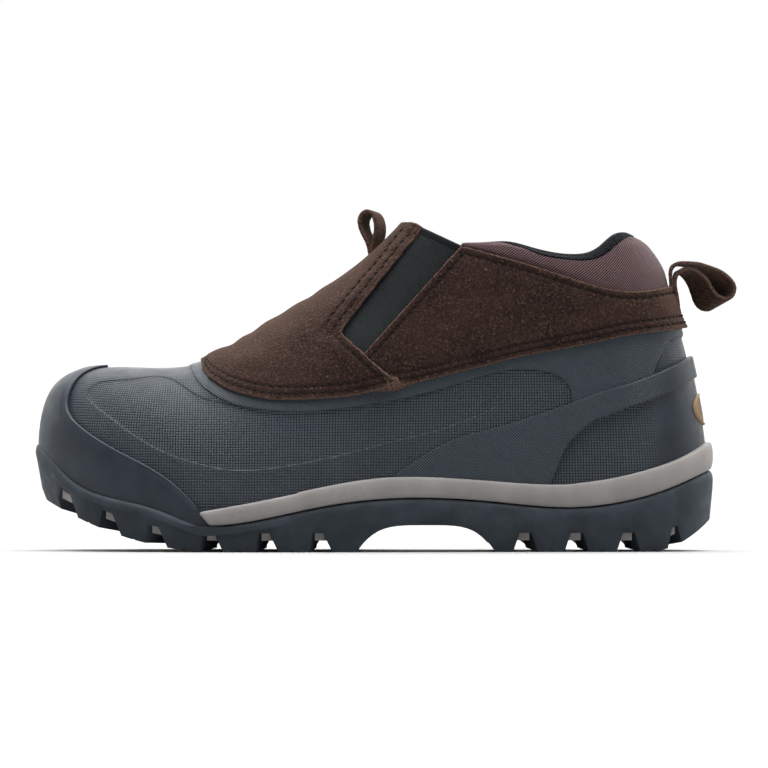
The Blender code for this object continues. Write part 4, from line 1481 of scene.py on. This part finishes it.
# %% Finish of the elastic and the gores
RIB_PITCH = 0.96
RIB_RISE = 0.3
GORE_FACE = -0.55
GORE_WALL = 1.8
GORE_MARGIN = {"front": 3.0, "rear": 1.5, "foot": 3.0}
GORE_ROWS = 330
GORE_COLUMNS = 20
SPARSE_ROWS = np.linspace(0, 1, 25)
SPARSE_COLUMNS = np.linspace(0, 1, 7)
GORE_STRETCH = (8.0, 36.0)
# The band along the top: how far below the edge it starts and is full, and its rise
TOP_BAND = (2.2, 1.6)
TOP_BAND_RISE = 0.35
ELASTIC_DARK = tone(0.004, 0.005, 0.0056)
ELASTIC_WORN = tone(0.007, 0.0082, 0.009)
ELASTIC_RIB = tone(0.033, 0.039, 0.042)
ELASTIC_STRETCHED = tone(0.028, 0.033, 0.036)
ELASTIC_BAND = tone(0.0035, 0.004, 0.0045)


def elastic():
    """Near-black elastic: pale threads on the ribs, and paler where it is stretched."""
    finish = Finish("ribbed_elastic", Sheen_Weight=0.1, Sheen_Roughness=0.4,
                    Specular_IOR_Level=0.15)
    across, up = finish.pattern()
    ribs = finish.lines(up, RIB_PITCH, 0.15, 0.85)
    threads = finish.lines(finish.math("ADD", across, finish.times(up, 0.5)), 0.5)
    worn = finish.step(finish.noise(7.0), 0.3, 0.7)
    ground = finish.blend(worn, ELASTIC_DARK, ELASTIC_WORN)
    ground = finish.blend(finish.times(ribs, 0.65), ground, ELASTIC_RIB)
    stretched = finish.step(up, *GORE_STRETCH, 0.45, 0.0)
    ground = finish.blend(stretched, ground, ELASTIC_STRETCHED)
    finish.colour(finish.blend(finish.mark("hem"), ground, ELASTIC_BAND))
    finish.rough(finish.noise(3.0), 0.7, 0.9)
    finish.bump(threads, 0.06)
    return finish.material


elastic_finish = elastic()


def make_gore(name, side, node):
    """Elastic behind one slot; side is 1 on the outer and -1 on the inner half."""
    corner = {key: np.array(place) for key, place in SLOT.items()}
    across = unit(corner["top_rear"] - corner["top_front"])
    down = unit(corner["foot_front"] - corner["top_front"]) * GORE_MARGIN["foot"]
    front = -across * GORE_MARGIN["front"]
    rear = across * GORE_MARGIN["rear"]
    # Few places are searched for on the form, and the dense mesh is read off between them
    places = []
    for share in SPARSE_COLUMNS:
        top = (corner["top_front"] + front) * (1 - share) + (corner["top_rear"] + rear) * share
        foot = ((corner["foot_front"] + front) * (1 - share)
                + (corner["foot_rear"] + rear) * share + down)
        line = foot + (top - foot) * SPARSE_ROWS[:, None]
        places.append([(turn_at(*place), place[1]) for place in line])
    places = np.array(places)
    rows = np.linspace(0, 1, GORE_ROWS)
    shares = np.linspace(0, 1, GORE_COLUMNS)
    dense = np.stack([[np.interp(rows, SPARSE_ROWS, line[:, axis]) for line in places]
                      for axis in (0, 1)], axis=-1)
    dense = np.stack([[np.interp(shares, SPARSE_COLUMNS, dense[:, row, axis])
                       for row in range(GORE_ROWS)] for axis in (0, 1)], axis=-1)
    dense = np.swapaxes(dense, 0, 1)
    turn, height = side * dense[..., 0], dense[..., 1]
    if side > 0:
        turn, height, shares = turn[::-1], height[::-1], shares[::-1]
    points = form(turn, rib_angle(turn, height))
    length = travelled(points[GORE_COLUMNS // 2])
    width = travelled(points[:, 0])[-1]
    sheet = sheet_of([points], pattern=[flat(shares[:, None] * width, length)])
    up = sheet["pattern"][:, 1]
    ribs = np.cos(2 * np.pi * up / RIB_PITCH)
    top_band = eased(up, length[-1] - TOP_BAND[0], length[-1] - TOP_BAND[1])
    face = GORE_FACE - RIB_RISE / 2 * ribs * (1 - top_band) + TOP_BAND_RISE * top_band
    shape = walled(sheet, face, GORE_FACE - GORE_WALL)
    add_piece(name, shape, elastic_finish, "elastic", [node],
              **carried(shape, pattern=sheet["pattern"], hem=top_band))


make_gore("outer_gore", 1, "gore_lateral")
make_gore("inner_gore", -1, "gore_medial")

# %% [markdown]
# ## Padded collar and lining
# Behind the gores a foam cuff in twill tops the boot. A black binding rolls over its edge
# and covers its inside. The foam's section is drawn as a few points and rounded into a
# closed curve, carried round the heel. A cloth simulation could puff it up, but foam this
# thin keeps its sewn shape. The lining follows the inside of the boot down to the footbed.

# %% Finishes of the twill, the lining and the footbed
TWILL_PITCH = 0.85
TWILL_SLANT = (0.67, 0.74)
TWILL_DARK = tone(0.019, 0.0105, 0.0112)
TWILL_WORN = tone(0.027, 0.0155, 0.0163)
TWILL_PALE = tone(0.200, 0.124, 0.129)


def twill():
    """Mauve-brown twill: steep diagonal lines of pale thread over dark."""
    finish = Finish("mauve_twill", Sheen_Weight=0.08, Sheen_Roughness=0.5, Specular_IOR_Level=0.1)
    girth, climb = finish.pattern()
    slant = finish.math("ADD", finish.times(girth, TWILL_SLANT[0]),
                        finish.times(climb, TWILL_SLANT[1]))
    cords = finish.lines(slant, TWILL_PITCH, 0.2, 0.8)
    weft = finish.lines(finish.math("SUBTRACT", climb, finish.times(girth, 0.3)), 0.6)
    worn = finish.step(finish.noise(9.0), 0.3, 0.7)
    dark = finish.blend(worn, TWILL_DARK, TWILL_WORN)
    finish.colour(finish.blend(finish.times(cords, 0.9), dark, TWILL_PALE))
    finish.rough(finish.noise(2.0), 0.75, 0.92)
    finish.bump(cords, 0.22)
    finish.bump(weft, 0.06)
    return finish.material


def fleece(name, dark, pale, grain):
    """Short black pile, as on the lining and the footbed."""
    finish = Finish(name, Sheen_Weight=0.05, Sheen_Roughness=0.5, Specular_IOR_Level=0.1)
    tufts = finish.step(finish.noise(grain, 4.0), 0.35, 0.7)
    finish.colour(finish.blend(tufts, dark, pale))
    finish.rough(finish.noise(2.5), 0.85, 0.98)
    finish.bump(tufts, 0.3)
    return finish.material


twill_finish = twill()
lining_finish = fleece("black_lining", tone(0.002, 0.003, 0.0045), tone(0.006, 0.008, 0.011), 1.1)
felt_finish = fleece("dark_felt", tone(0.011, 0.012, 0.014), tone(0.027, 0.029, 0.032), 1.8)
print("finishes:", twill_finish.name, "and", lining_finish.name, "and", felt_finish.name)

# %% The collar
COLLAR_LAP = 6.5
COLLAR_FRONT = (113.2, 137.4)
COLLAR_HEIGHT = 128.0
COLLAR_SPACING = 1.2
ROUND_STEPS = 5
collar_front = turn_at(*COLLAR_FRONT)
# Thickness and puff at the back of the heel, at its side and at the front end
COLLAR_STATIONS = (0, 2, collar_front)
COLLAR_THICK = (9, 7, 5)
COLLAR_PUFF = (0.3, 1.4, 0.8)
# The back leans in: by how much, over which turns, and over which share of the height
COLLAR_LEAN = 5.5
LEAN_TURNS = (0.3, 2.2)
LEAN_SHARE = (0.45, 1.05)
# How the section shrinks to round off each end: turns from the end, size
COLLAR_TIP = ((0, 0.94), (0.02, 0.98), (0.06, 0.995), (0.12, 1))


def form_normal(turn, angle):
    """The outward normal of the form, away from its ridge."""
    angle = np.minimum(angle, np.pi / 2 - 2 * NUDGE)
    around = form(turn + NUDGE, angle) - form(turn - NUDGE, angle)
    upward = form(turn, angle + NUDGE) - form(turn, angle - NUDGE)
    return unit(np.cross(upward, around))


def rounded(corners):
    """A closed curve through the corners of each section."""
    before, after, later = (np.roll(corners, -shift, axis=1) for shift in (-1, 1, 2))
    steps = []
    for share in np.arange(ROUND_STEPS) / ROUND_STEPS:
        steps.append(0.5 * (2 * corners + (after - before) * share
                            + (2 * before - 5 * corners + 4 * after - later) * share**2
                            + (3 * corners - before - 3 * after + later) * share**3))
    return np.stack(steps, axis=2).reshape(len(corners), -1, 3)


def collar_sections(turns):
    """Closed sections of the cuff."""
    spread = np.abs(turns)
    edge = form(turns, angle_on(turns, suede_top))[:, 2]
    top = form(turns, angle_on(turns, mouth))[:, 2]
    rise = top - edge
    thick = np.interp(spread, COLLAR_STATIONS, COLLAR_THICK)
    puff = np.interp(spread, COLLAR_STATIONS, COLLAR_PUFF)
    middle = (top + edge) / 2 - COLLAR_LAP
    leaning = COLLAR_LEAN * (1 - eased(spread, *LEAN_TURNS))
    # Corners up the outside, over the rim and down the inside: height, distance from the form
    rows = ((edge - COLLAR_LAP, 0 * puff), (edge + 0.5, 0 * puff), (edge + 0.35 * rise, puff),
            (edge + 0.75 * rise, puff), (top - 1.2, -0.12 * thick), (top, -0.4 * thick),
            (top - 1.2, -0.75 * thick), (top - 6, -thick), (middle, -thick),
            (edge - COLLAR_LAP, -0.8 * thick))
    corners = []
    for height, offset in rows:
        angle = rib_angle(turns, height)
        offset = offset - leaning * eased((height - edge) / rise, *LEAN_SHARE)
        corners.append(form(turns, angle) + form_normal(turns, angle) * offset[:, None])
    return rounded(np.stack(corners, axis=1))


def make_collar():
    """Padded twill cuff round the heel, behind the gores; hands back its sections."""
    turns = both_sides(even_turns(0, collar_front, COLLAR_HEIGHT, COLLAR_SPACING))
    sections = collar_sections(turns)
    middle = sections.mean(axis=1, keepdims=True)
    squeeze = np.interp(collar_front - np.abs(turns), *zip(*COLLAR_TIP))
    sections = middle + (sections - middle) * squeeze[:, None, None]
    shape = swept(sections)
    climb = np.array([travelled(section) for section in sections])
    pattern = flat(girth_at(turns)[:, None], climb).reshape(-1, 3)
    collar = add_piece("padded_collar", shape, twill_finish, "twill", ["collar"],
                       **carried(shape, pattern=pattern))
    return sections


collar_skin = make_collar()

# %% The binding over the collar's edge
# How far below the rim it starts on the outside: along, depth
BINDING_ROWS = ((0, -0.5), (36, -0.4), (41, 1.0), (46, 3.2), (52, 3.2), (60, 2.0), (75, 1.6),
                (88, 1.0), (96, 0.2), (114, -0.3))
BINDING_LIFT = 0.45
BINDING_SEAT = -0.8
BINDING_STEP_IN = 3.0
STEP_IN_ALONG = (86, 97)
THIN_ALONG = (88, 97)
BINDING_EASE = 13
BINDING_STEPS = 24
# Places on the collar's section, counted in its corners
OUTER_PLACE = 2 * ROUND_STEPS
TOP_PLACE = 5 * ROUND_STEPS
INNER_PLACE = 9 * ROUND_STEPS
binding_depth = side_line(BINDING_ROWS)


def make_binding():
    """Black cloth that rolls over the mouth, deepest where the heel rises."""
    count = collar_skin.shape[1]
    rim = collar_skin[:, TOP_PLACE]
    places = np.arange(OUTER_PLACE, TOP_PLACE + 1)
    levels = rim[:, 2] - binding_depth(along_of(rim))
    starts = [np.interp(level, section[places, 2], places)
              for level, section in zip(levels, collar_skin)]
    starts = starts + BINDING_STEP_IN * eased(along_of(rim), *STEP_IN_ALONG)
    padded = np.pad(starts, BINDING_EASE // 2, mode="edge")
    starts = np.convolve(padded, np.full(BINDING_EASE, 1 / BINDING_EASE), "valid")
    columns = []
    for start, section in zip(starts, collar_skin):
        marks = np.linspace(start, INNER_PLACE, BINDING_STEPS)
        columns.append(np.stack([np.interp(marks, np.arange(count), section[:, axis])
                                 for axis in range(3)], axis=1))
    sheet = sheet_of([np.array(columns)])
    lift = BINDING_LIFT * (1 - eased(sheet["along"], *THIN_ALONG) / 2)
    add_piece("collar_binding", walled(sheet, lift, BINDING_SEAT), lining_finish, "footbed")


make_binding()

# %% The lining inside
LINING_FACE = -3.5
LINING_WALL = 0.8
LINING_TOP = -4.0
LINING_HEIGHT = 60.0
LINING_SPACING = 3.0
LINING_ROWS = 40
LINING_SWELL = 30.0
FRONT_LINING = {"past_collar": 0.3, "thick": 3}
INSOLE_WALL = 4.0
INSOLE_LAP = 1.0


def make_lining():
    """Black cloth from the footbed up to the collar, the gores and the vamp."""
    peak = ridge_meeting(suede_top, *PEAK_TURNS, LINING_TOP)
    turns = both_sides(even_turns(0, LAST, LINING_HEIGHT, LINING_SPACING, peak))
    spread = np.abs(turns)
    bed = bed_top(along_at(turns)) + INSOLE_WALL - INSOLE_LAP
    low = rib_angle(turns, np.maximum(bed, feather_at(turns) + INSOLE_LAP))
    high = np.where(spread >= peak, np.pi / 2, angle_on(turns, suede_top, LINING_TOP))
    sheet = form_sheet(rib_grid(turns, low, high, LINING_ROWS))
    thick = np.interp(np.abs(sheet["turn"]),
                      (*COLLAR_STATIONS, collar_front + FRONT_LINING["past_collar"]),
                      (*COLLAR_THICK, FRONT_LINING["thick"]))
    edge = suede_top(sheet["along"])
    swell = eased(sheet["height"], edge - LINING_SWELL, edge - COLLAR_LAP)
    face = LINING_FACE - np.maximum(thick + GAP + LINING_FACE, 0) * swell
    add_piece("lining", walled(sheet, face, face - LINING_WALL), lining_finish, "footbed")


make_lining()

# %% The footbed
FOOTBED_INSET = 8.9
FOOTBED_CROWN = 1.2
FOOTBED_STEPS = {"along": 120, "across": 30}


def make_footbed():
    """Felt footbed with a soft crown, on the seat inside the midsole."""
    turns = turn_of(np.linspace(0, SOLE_LENGTH, FOOTBED_STEPS["along"]))
    shares = np.linspace(0, 1, FOOTBED_STEPS["across"])
    outer, inner = (sole_edge(side * turns, FOOTBED_INSET) for side in (1, -1))
    plan = outer[:, None] + (inner - outer)[:, None] * shares[:, None]
    level = bed_top(along_at(turns)) + GAP + INSOLE_WALL
    crown = FOOTBED_CROWN * np.sin(np.pi * shares)**2
    points = raised(plan, level[:, None] - FOOTBED_CROWN + crown)
    shape = walled(sheet_of([points]), 0.0, INSOLE_LAP - INSOLE_WALL)
    add_piece("footbed_pad", shape, felt_finish, "footbed", ["insole"])


make_footbed()

# %% [markdown]
# ## Pull loops and heel patch
# Two short leather strips are sewn on as loops to pull the boot on. Each is a ribbon along
# a drawn route, twisted a little so that its dark inner face shows, with pale raw
# edges. A curve with a bevel makes ribbons too, but not with frayed edges. A blank oval patch
# wraps the back of the heel.

# %% The pull loops
# Routes of the edge that faces the outer side: along, height, share of the shift
FRONT_LOOP = ((154.4, 133.5, 1), (155.6, 138.6, 1), (157.6, 142.6, 1), (159, 146.6, 1),
              (159, 149.8, 1), (157.4, 152.2, 1), (155.6, 152.8, 1), (153.8, 151.9, 1),
              (152.4, 149.4, 1), (151.8, 146.2, 1), (152.2, 142.2, 1), (153.4, 137.8, 1),
              (154, 133, 1))
BACK_LOOP = ((15.6, 108.5, 0), (16.4, 115, 0), (17.2, 121, 0), (16.2, 124.4, 0.1),
             (14.2, 126.2, 0.25), (10.9, 126.9, 0.45), (6.5, 125.1, 0.65), (3.3, 122.3, 0.8),
             (1, 118.5, 0.9), (-1.4, 115.2, 0.97), (-4.8, 113.5, 1), (-7.8, 114, 1), (-9.5, 117, 1),
             (-9.3, 119.9, 0.95), (-7.8, 122, 0.85), (-3.7, 125.3, 0.7), (2.7, 127.9, 0.5),
             (7.1, 129.1, 0.35), (11.5, 129.4, 0.2), (16.6, 128.9, 0.1), (18.8, 126.8, 0),
             (18.9, 121, 0), (19, 113, 0))
LOOP_STEPS = {"per_row": 8, "across": 13}
LOOP_COLUMNS = ("route", "near", "width", "thickness", "shift", "node")
LOOPS = {
    "front_pull_loop": (FRONT_LOOP, -1.5, 9.0, 1.7, (3.9, -1.2), "front_loop"),
    "back_pull_loop": (BACK_LOOP, -5.5, 11.0, 1.8, (-8.6, -5.0), "back_loop"),
}


def make_loop(name, route, near, width, thickness, shift, node):
    """A ribbon of leather along the route of its near edge; its far edge is shifted."""
    rows = np.asarray(route, float)
    travel = travelled(rows[:, :2])
    marks = np.linspace(0, travel[-1], LOOP_STEPS["per_row"] * len(rows))
    along, height, share = (smooth(travel, rows[:, axis])(marks)[:, None] for axis in range(3))
    across = np.linspace(0, 1, LOOP_STEPS["across"])
    points = np.stack([CENTRE_ALONG - along + shift[0] * share * across,
                       near + width * across + 0 * along,
                       height + shift[1] * share * across], axis=-1)
    sheet = sheet_of([points])
    shape = walled(sheet, thickness / 2, -thickness / 2, frayed(sheet["points"]))
    add_piece(name, shape, suede_finish, "loop_leather", [node],
              furrow=np.zeros(len(shape["origin"])), raw=shape["rim"])


for loop_name, loop_row in LOOPS.items():
    make_loop(loop_name, **dict(zip(LOOP_COLUMNS, loop_row)))

# %% The heel patch
BADGE_HEIGHT = 63.5
BADGE_HALF_WIDTH = 14.5
BADGE_HALF_HEIGHT = 6.75
BADGE_RISE = 1.4
BADGE_SEAT = -0.3
BADGE_TURNS = 3
BADGE_STEPS = {"up": 31, "across": 61}
# The raised border: where it starts and ends, as shares of the way out, and its height
BORDER_START = (0.70, 0.78)
BORDER_END = (0.93, 1.0)
BORDER_RISE = 0.5
BADGE_DOME = 0.25
PATCH_DARK = tone(0.120, 0.070, 0.032)
PATCH_TAN = tone(0.165, 0.100, 0.048)
PATCH_BORDER = tone(0.23, 0.145, 0.075)


def patch_leather():
    """Tan leather, paler on its raised border."""
    finish = Finish("tan_patch", Specular_IOR_Level=0.3)
    worn = finish.step(finish.noise(1.2, 4.0), 0.3, 0.75)
    ground = finish.blend(worn, PATCH_DARK, PATCH_TAN)
    border = finish.step(finish.mark("border"), 0.72, 0.95)
    finish.colour(finish.blend(border, ground, PATCH_BORDER))
    finish.rough(finish.noise(1.5), 0.5, 0.75)
    finish.bump(finish.noise(0.8, 4.0), 0.12)
    return finish.material


def make_patch():
    """Blank oval wrapped round the back of the heel, with a raised border."""
    parts = np.linspace(-1, 1, BADGE_STEPS["up"])
    shares = np.linspace(-1, 1, BADGE_STEPS["across"])
    near = SEARCH[SEARCH < BADGE_TURNS]
    columns = []
    for share in shares:
        line = []
        for part in parts:
            height = BADGE_HEIGHT + BADGE_HALF_HEIGHT * np.sin(part * np.pi / 2)
            across = share * BADGE_HALF_WIDTH * np.cos(part * np.pi / 2)
            side = -np.sign(across or 1)
            reach = np.abs(form(side * near, rib_angle(near, height))[:, 1])
            line.append((side * np.interp(abs(across), reach, near), height))
        columns.append(line)
    places = np.array(columns)[::-1]
    turn, height = places[..., 0], places[..., 1]
    depth = np.maximum(np.abs(shares[::-1, None]), np.abs(parts[None])) + 0 * turn
    sheet = sheet_of([form(turn, rib_angle(turn, height))], border=[depth])
    border = sheet["border"]
    ring = eased(border, *BORDER_START) * (1 - eased(border, *BORDER_END))
    face = BADGE_RISE - BORDER_RISE * (1 - ring) + BADGE_DOME * (1 - border**2)
    shape = walled(sheet, face, BADGE_SEAT, bulge=0.5)
    add_piece("heel_patch", shape, patch_leather(), "badge", ["heel_badge"],
              **carried(shape, border=border))


make_patch()

# %% [markdown]
# ## Stitches
# Rows of dark thread hold the hides together. Each stitch is a small bent rod that rises from
# the furrow and dips back in. All the rows are built as one joined mesh from arrays, which is
# far lighter than an object for each stitch.

# %% Rows of stitches
STITCH_PITCH = 3.9
STITCH_LENGTH = 2.6
STITCH_SLANT = 0.35
STITCH_RADIUS = 0.38
STITCH_SIDES = 6
# How much of the slot's rows is sewn, and how far the other rows stop short of their ends
SLOT_ROW_SHARE = 0.96
ROW_STOP = {"tip": 0.01, "quarter": 0.05, "vamp": 0.12}
ROW_STEPS = {"quarter": 200, "vamp": 160, "top": 160, "side": 60}
THREAD_DARK = tone(0.0022, 0.0016, 0.0014)
THREAD_PALE = tone(0.009, 0.0062, 0.0054)
# How far a stitch stands off the hide from end to end
STITCH_BOW = np.array([-0.45, 0.12, 0.3, 0.12, -0.45])


def thread():
    """Near-black thread with a tight twist."""
    finish = Finish("brown_thread", Specular_IOR_Level=0.15)
    twist = finish.noise(0.4, 2.0)
    finish.colour(finish.blend(twist, THREAD_DARK, THREAD_PALE))
    finish.rough(twist, 0.6, 0.8)
    finish.bump(twist, 0.1)
    return finish.material


def surface_row(turn, angle, face):
    """Points on a hide and the normals there."""
    base = form(turn, angle)
    normal = form_normal(turn, angle)
    offset = face(along_of(base), base[:, 2])
    return base + normal * offset[:, None], normal


def side_row(first, second, side, face):
    """A straight row in side view between two places, laid on one side of the boot."""
    marks = np.linspace(0, 1, ROW_STEPS["side"])[:, None]
    places = np.array(first) * (1 - marks) + np.array(second) * marks
    turn = np.array([turn_at(*place) for place in places])
    return surface_row(side * turn, rib_angle(turn, places[:, 1]), face)


def shifted(first, second, distance):
    """Two places moved sideways in side view, to the left of the run by a distance."""
    run = unit(np.array(second) - np.array(first))
    side = np.array([-run[1], run[0]]) * distance
    return np.array(first) + side, np.array(second) + side


def stitched(points, normals):
    """Stitches along one row, each as a run of rings round its thread."""
    travel = travelled(points)
    centres = np.arange(STITCH_PITCH / 2, travel[-1] - STITCH_PITCH / 2, STITCH_PITCH)
    swing = np.linspace(0, 2 * np.pi, STITCH_SIDES, endpoint=False)
    rods = []
    for centre in centres:
        marks = centre + np.linspace(-0.5, 0.5, len(STITCH_BOW)) * STITCH_LENGTH
        spine = np.stack([np.interp(marks, travel, points[:, axis]) for axis in range(3)], axis=1)
        up = unit(np.stack([np.interp(centre, travel, normals[:, axis]) for axis in range(3)]))
        side = unit(np.cross(spine[-1] - spine[0], up))
        spine = spine + up * STITCH_BOW[:, None]
        spine = spine + side * STITCH_SLANT * np.linspace(-1, 1, len(STITCH_BOW))[:, None]
        ring = np.cos(swing)[:, None] * side + np.sin(swing)[:, None] * up
        rods.append(spine[:, None] + STITCH_RADIUS * ring)
    return rods


def stitch_rows():
    """Every sewn row of the upper."""
    rows = []
    tip = ridge_meeting(suede_hem, *TIP_TURNS)
    seam_turn = turn_at(*SEAM_FOOT)
    for lift in HEM_ROWS:
        end = min(tip, ridge_meeting(suede_hem, *TIP_TURNS, lift)) - ROW_STOP["tip"]
        quarter = both_sides(np.linspace(0, seam_turn - ROW_STOP["quarter"], ROW_STEPS["quarter"]))
        rows.append(surface_row(quarter, angle_on(quarter, suede_hem, lift), quarter_face))
        front = np.linspace(seam_turn + ROW_STOP["vamp"], end, ROW_STEPS["vamp"])
        for side in (1, -1):
            rows.append(surface_row(side * front, angle_on(front, suede_hem, lift), vamp_face))
    top_end = turn_at(*SLOT["top_rear"]) - ROW_STOP["quarter"]
    top = both_sides(np.linspace(0, top_end, ROW_STEPS["top"]))
    rows.append(surface_row(top, angle_on(top, suede_top, -EDGE_ROW), quarter_face))
    for side in (1, -1):
        first, second = shifted(SLOT["foot_rear"], SLOT["top_rear"], EDGE_ROW)
        rows.append(side_row(first, second, side, quarter_face))
        for distance in (EDGE_ROW, SECOND_ROW):
            first, second = shifted(SLOT["foot_front"], SLOT["top_front"], -distance)
            last = first + (second - first) * SLOT_ROW_SHARE
            rows.append(side_row(first, last, side, vamp_face))
        first, second = shifted(SEAM_START, SLOT["foot_front"], -EDGE_ROW)
        rows.append(side_row(first, second, side, vamp_face))
    return rows


def make_stitches():
    """All stitches as one mesh of small capped rods."""
    rods = [rod for row in stitch_rows() for rod in stitched(*row)]
    template = swept(rods[0])
    order = template["origin"]
    count = len(order)
    points = np.concatenate([rod.reshape(-1, 3)[order] for rod in rods])
    faces = np.concatenate([template["faces"] + place * count for place in range(len(rods))])
    add_piece("stitches", {"points": points, "faces": faces}, thread(), "suede")
    print(len(rods), "stitches")


make_stitches()

# %% [markdown]
# ## Floor, light and camera
# The photograph is a plain studio shot from the side, just above the floor, on white. A wide
# pale floor and a white horizon give that ground from every side. Most light comes from the
# sky: a broad bright patch overhead, like a large softbox, a fairly bright wall behind the
# boot and little in front, so that the top shines and the near side falls off. A softbox
# beside the heel models that side. Area lamps alone would do too, but their light fades
# across the floor. The camera stands far off with a long lens, as product photographers do,
# so that the boot isn't distorted.

# %% Floor
FLOOR_HALF = 60.0
FLOOR_GREY = (tone(0.385, 0.385, 0.385), tone(0.40, 0.40, 0.40))


def make_floor():
    """A wide, pale, flat floor."""
    mesh = bpy.data.meshes.new("studio_floor")
    mesh.from_pydata([(x * FLOOR_HALF, y * FLOOR_HALF, 0) for x, y in
                      ((-1, -1), (1, -1), (1, 1), (-1, 1))], [], [(0, 1, 2, 3)])
    finish = Finish("pale_floor", Specular_IOR_Level=0.1)
    finish.colour(finish.blend(finish.noise(400.0, 2.0), *FLOOR_GREY))
    finish.rough(finish.noise(60.0), 0.8, 0.9)
    mesh.materials.append(finish.material)
    floor = placed("studio_floor", mesh)


make_floor()
print("floor:", round(2 * FLOOR_HALF), "m wide")

# %% Sky and key light
SKY = {"horizon": 1.0, "front": 0.08, "back": 2.2, "overhead": 7.0}
BACK_EDGE = (-0.2, 0.5)
HORIZON_BAND = (0.11, 0.2)
OVERHEAD_EDGE = (0.76, 0.94)
# The softbox: place and side in metres, power in watts
KEY_PLACE = (1.3, -1.1, 1.4)
KEY_SIZE = 0.9
KEY_POWER = 9.0


def make_sky():
    """A white studio dome: dim in front, bright behind, white at the horizon, strong overhead."""
    world = bpy.data.worlds.new("studio")
    world.use_nodes = True
    sky = Nodes(world.node_tree)
    direction = sky.add("SeparateXYZ", {"Vector": sky.add("TexCoord").outputs["Generated"]})
    strength = SKY["front"]
    for axis, limits, level in (("Y", BACK_EDGE, SKY["back"]),
                                ("Z", HORIZON_BAND[::-1], SKY["horizon"]),
                                ("Z", OVERHEAD_EDGE, SKY["overhead"])):
        strength = sky.step(direction.outputs[axis], *limits, strength, level)
    background = world.node_tree.nodes["Background"]
    sky.plug(background.inputs["Color"], tone(1, 1, 1))
    sky.plug(background.inputs["Strength"], strength)
    bpy.context.scene.world = world


def make_key():
    """A softbox beside the heel, which models the side of the boot."""
    light = bpy.data.lights.new("key_softbox", "AREA")
    light.energy = KEY_POWER
    light.size = KEY_SIZE
    lamp = placed("key_softbox", light)
    lamp.location = KEY_PLACE
    lamp.rotation_euler = (-lamp.location).to_track_quat("-Z", "Y").to_euler()


make_sky()
make_key()
bpy.context.scene.view_settings.view_transform = "Standard"
print("light overhead is", round(SKY["overhead"] / SKY["horizon"], 1), "times the horizon's")

# %% Camera
# Lengths in metres, the rise in degrees
CAMERA_DISTANCE = 10.0
CAMERA_RISE = 0.4
FRAME_WIDTH = 0.3456
FRAME_CENTRE = (-0.00075, 0.0, 0.0750)


def make_camera():
    """A long lens level with the side of the boot."""
    camera_data = bpy.data.cameras.new("side_view")
    camera_data.lens = camera_data.sensor_width * CAMERA_DISTANCE / FRAME_WIDTH
    camera = placed("side_view", camera_data)
    tilt = np.radians(CAMERA_RISE)
    back = Vector((0, -np.cos(tilt), np.sin(tilt)))
    camera.location = Vector(FRAME_CENTRE) + back * CAMERA_DISTANCE
    camera.rotation_euler = (-back).to_track_quat("-Z", "Y").to_euler()
    bpy.context.scene.camera = camera
    print("lens:", round(camera_data.lens), "mm")


make_camera()
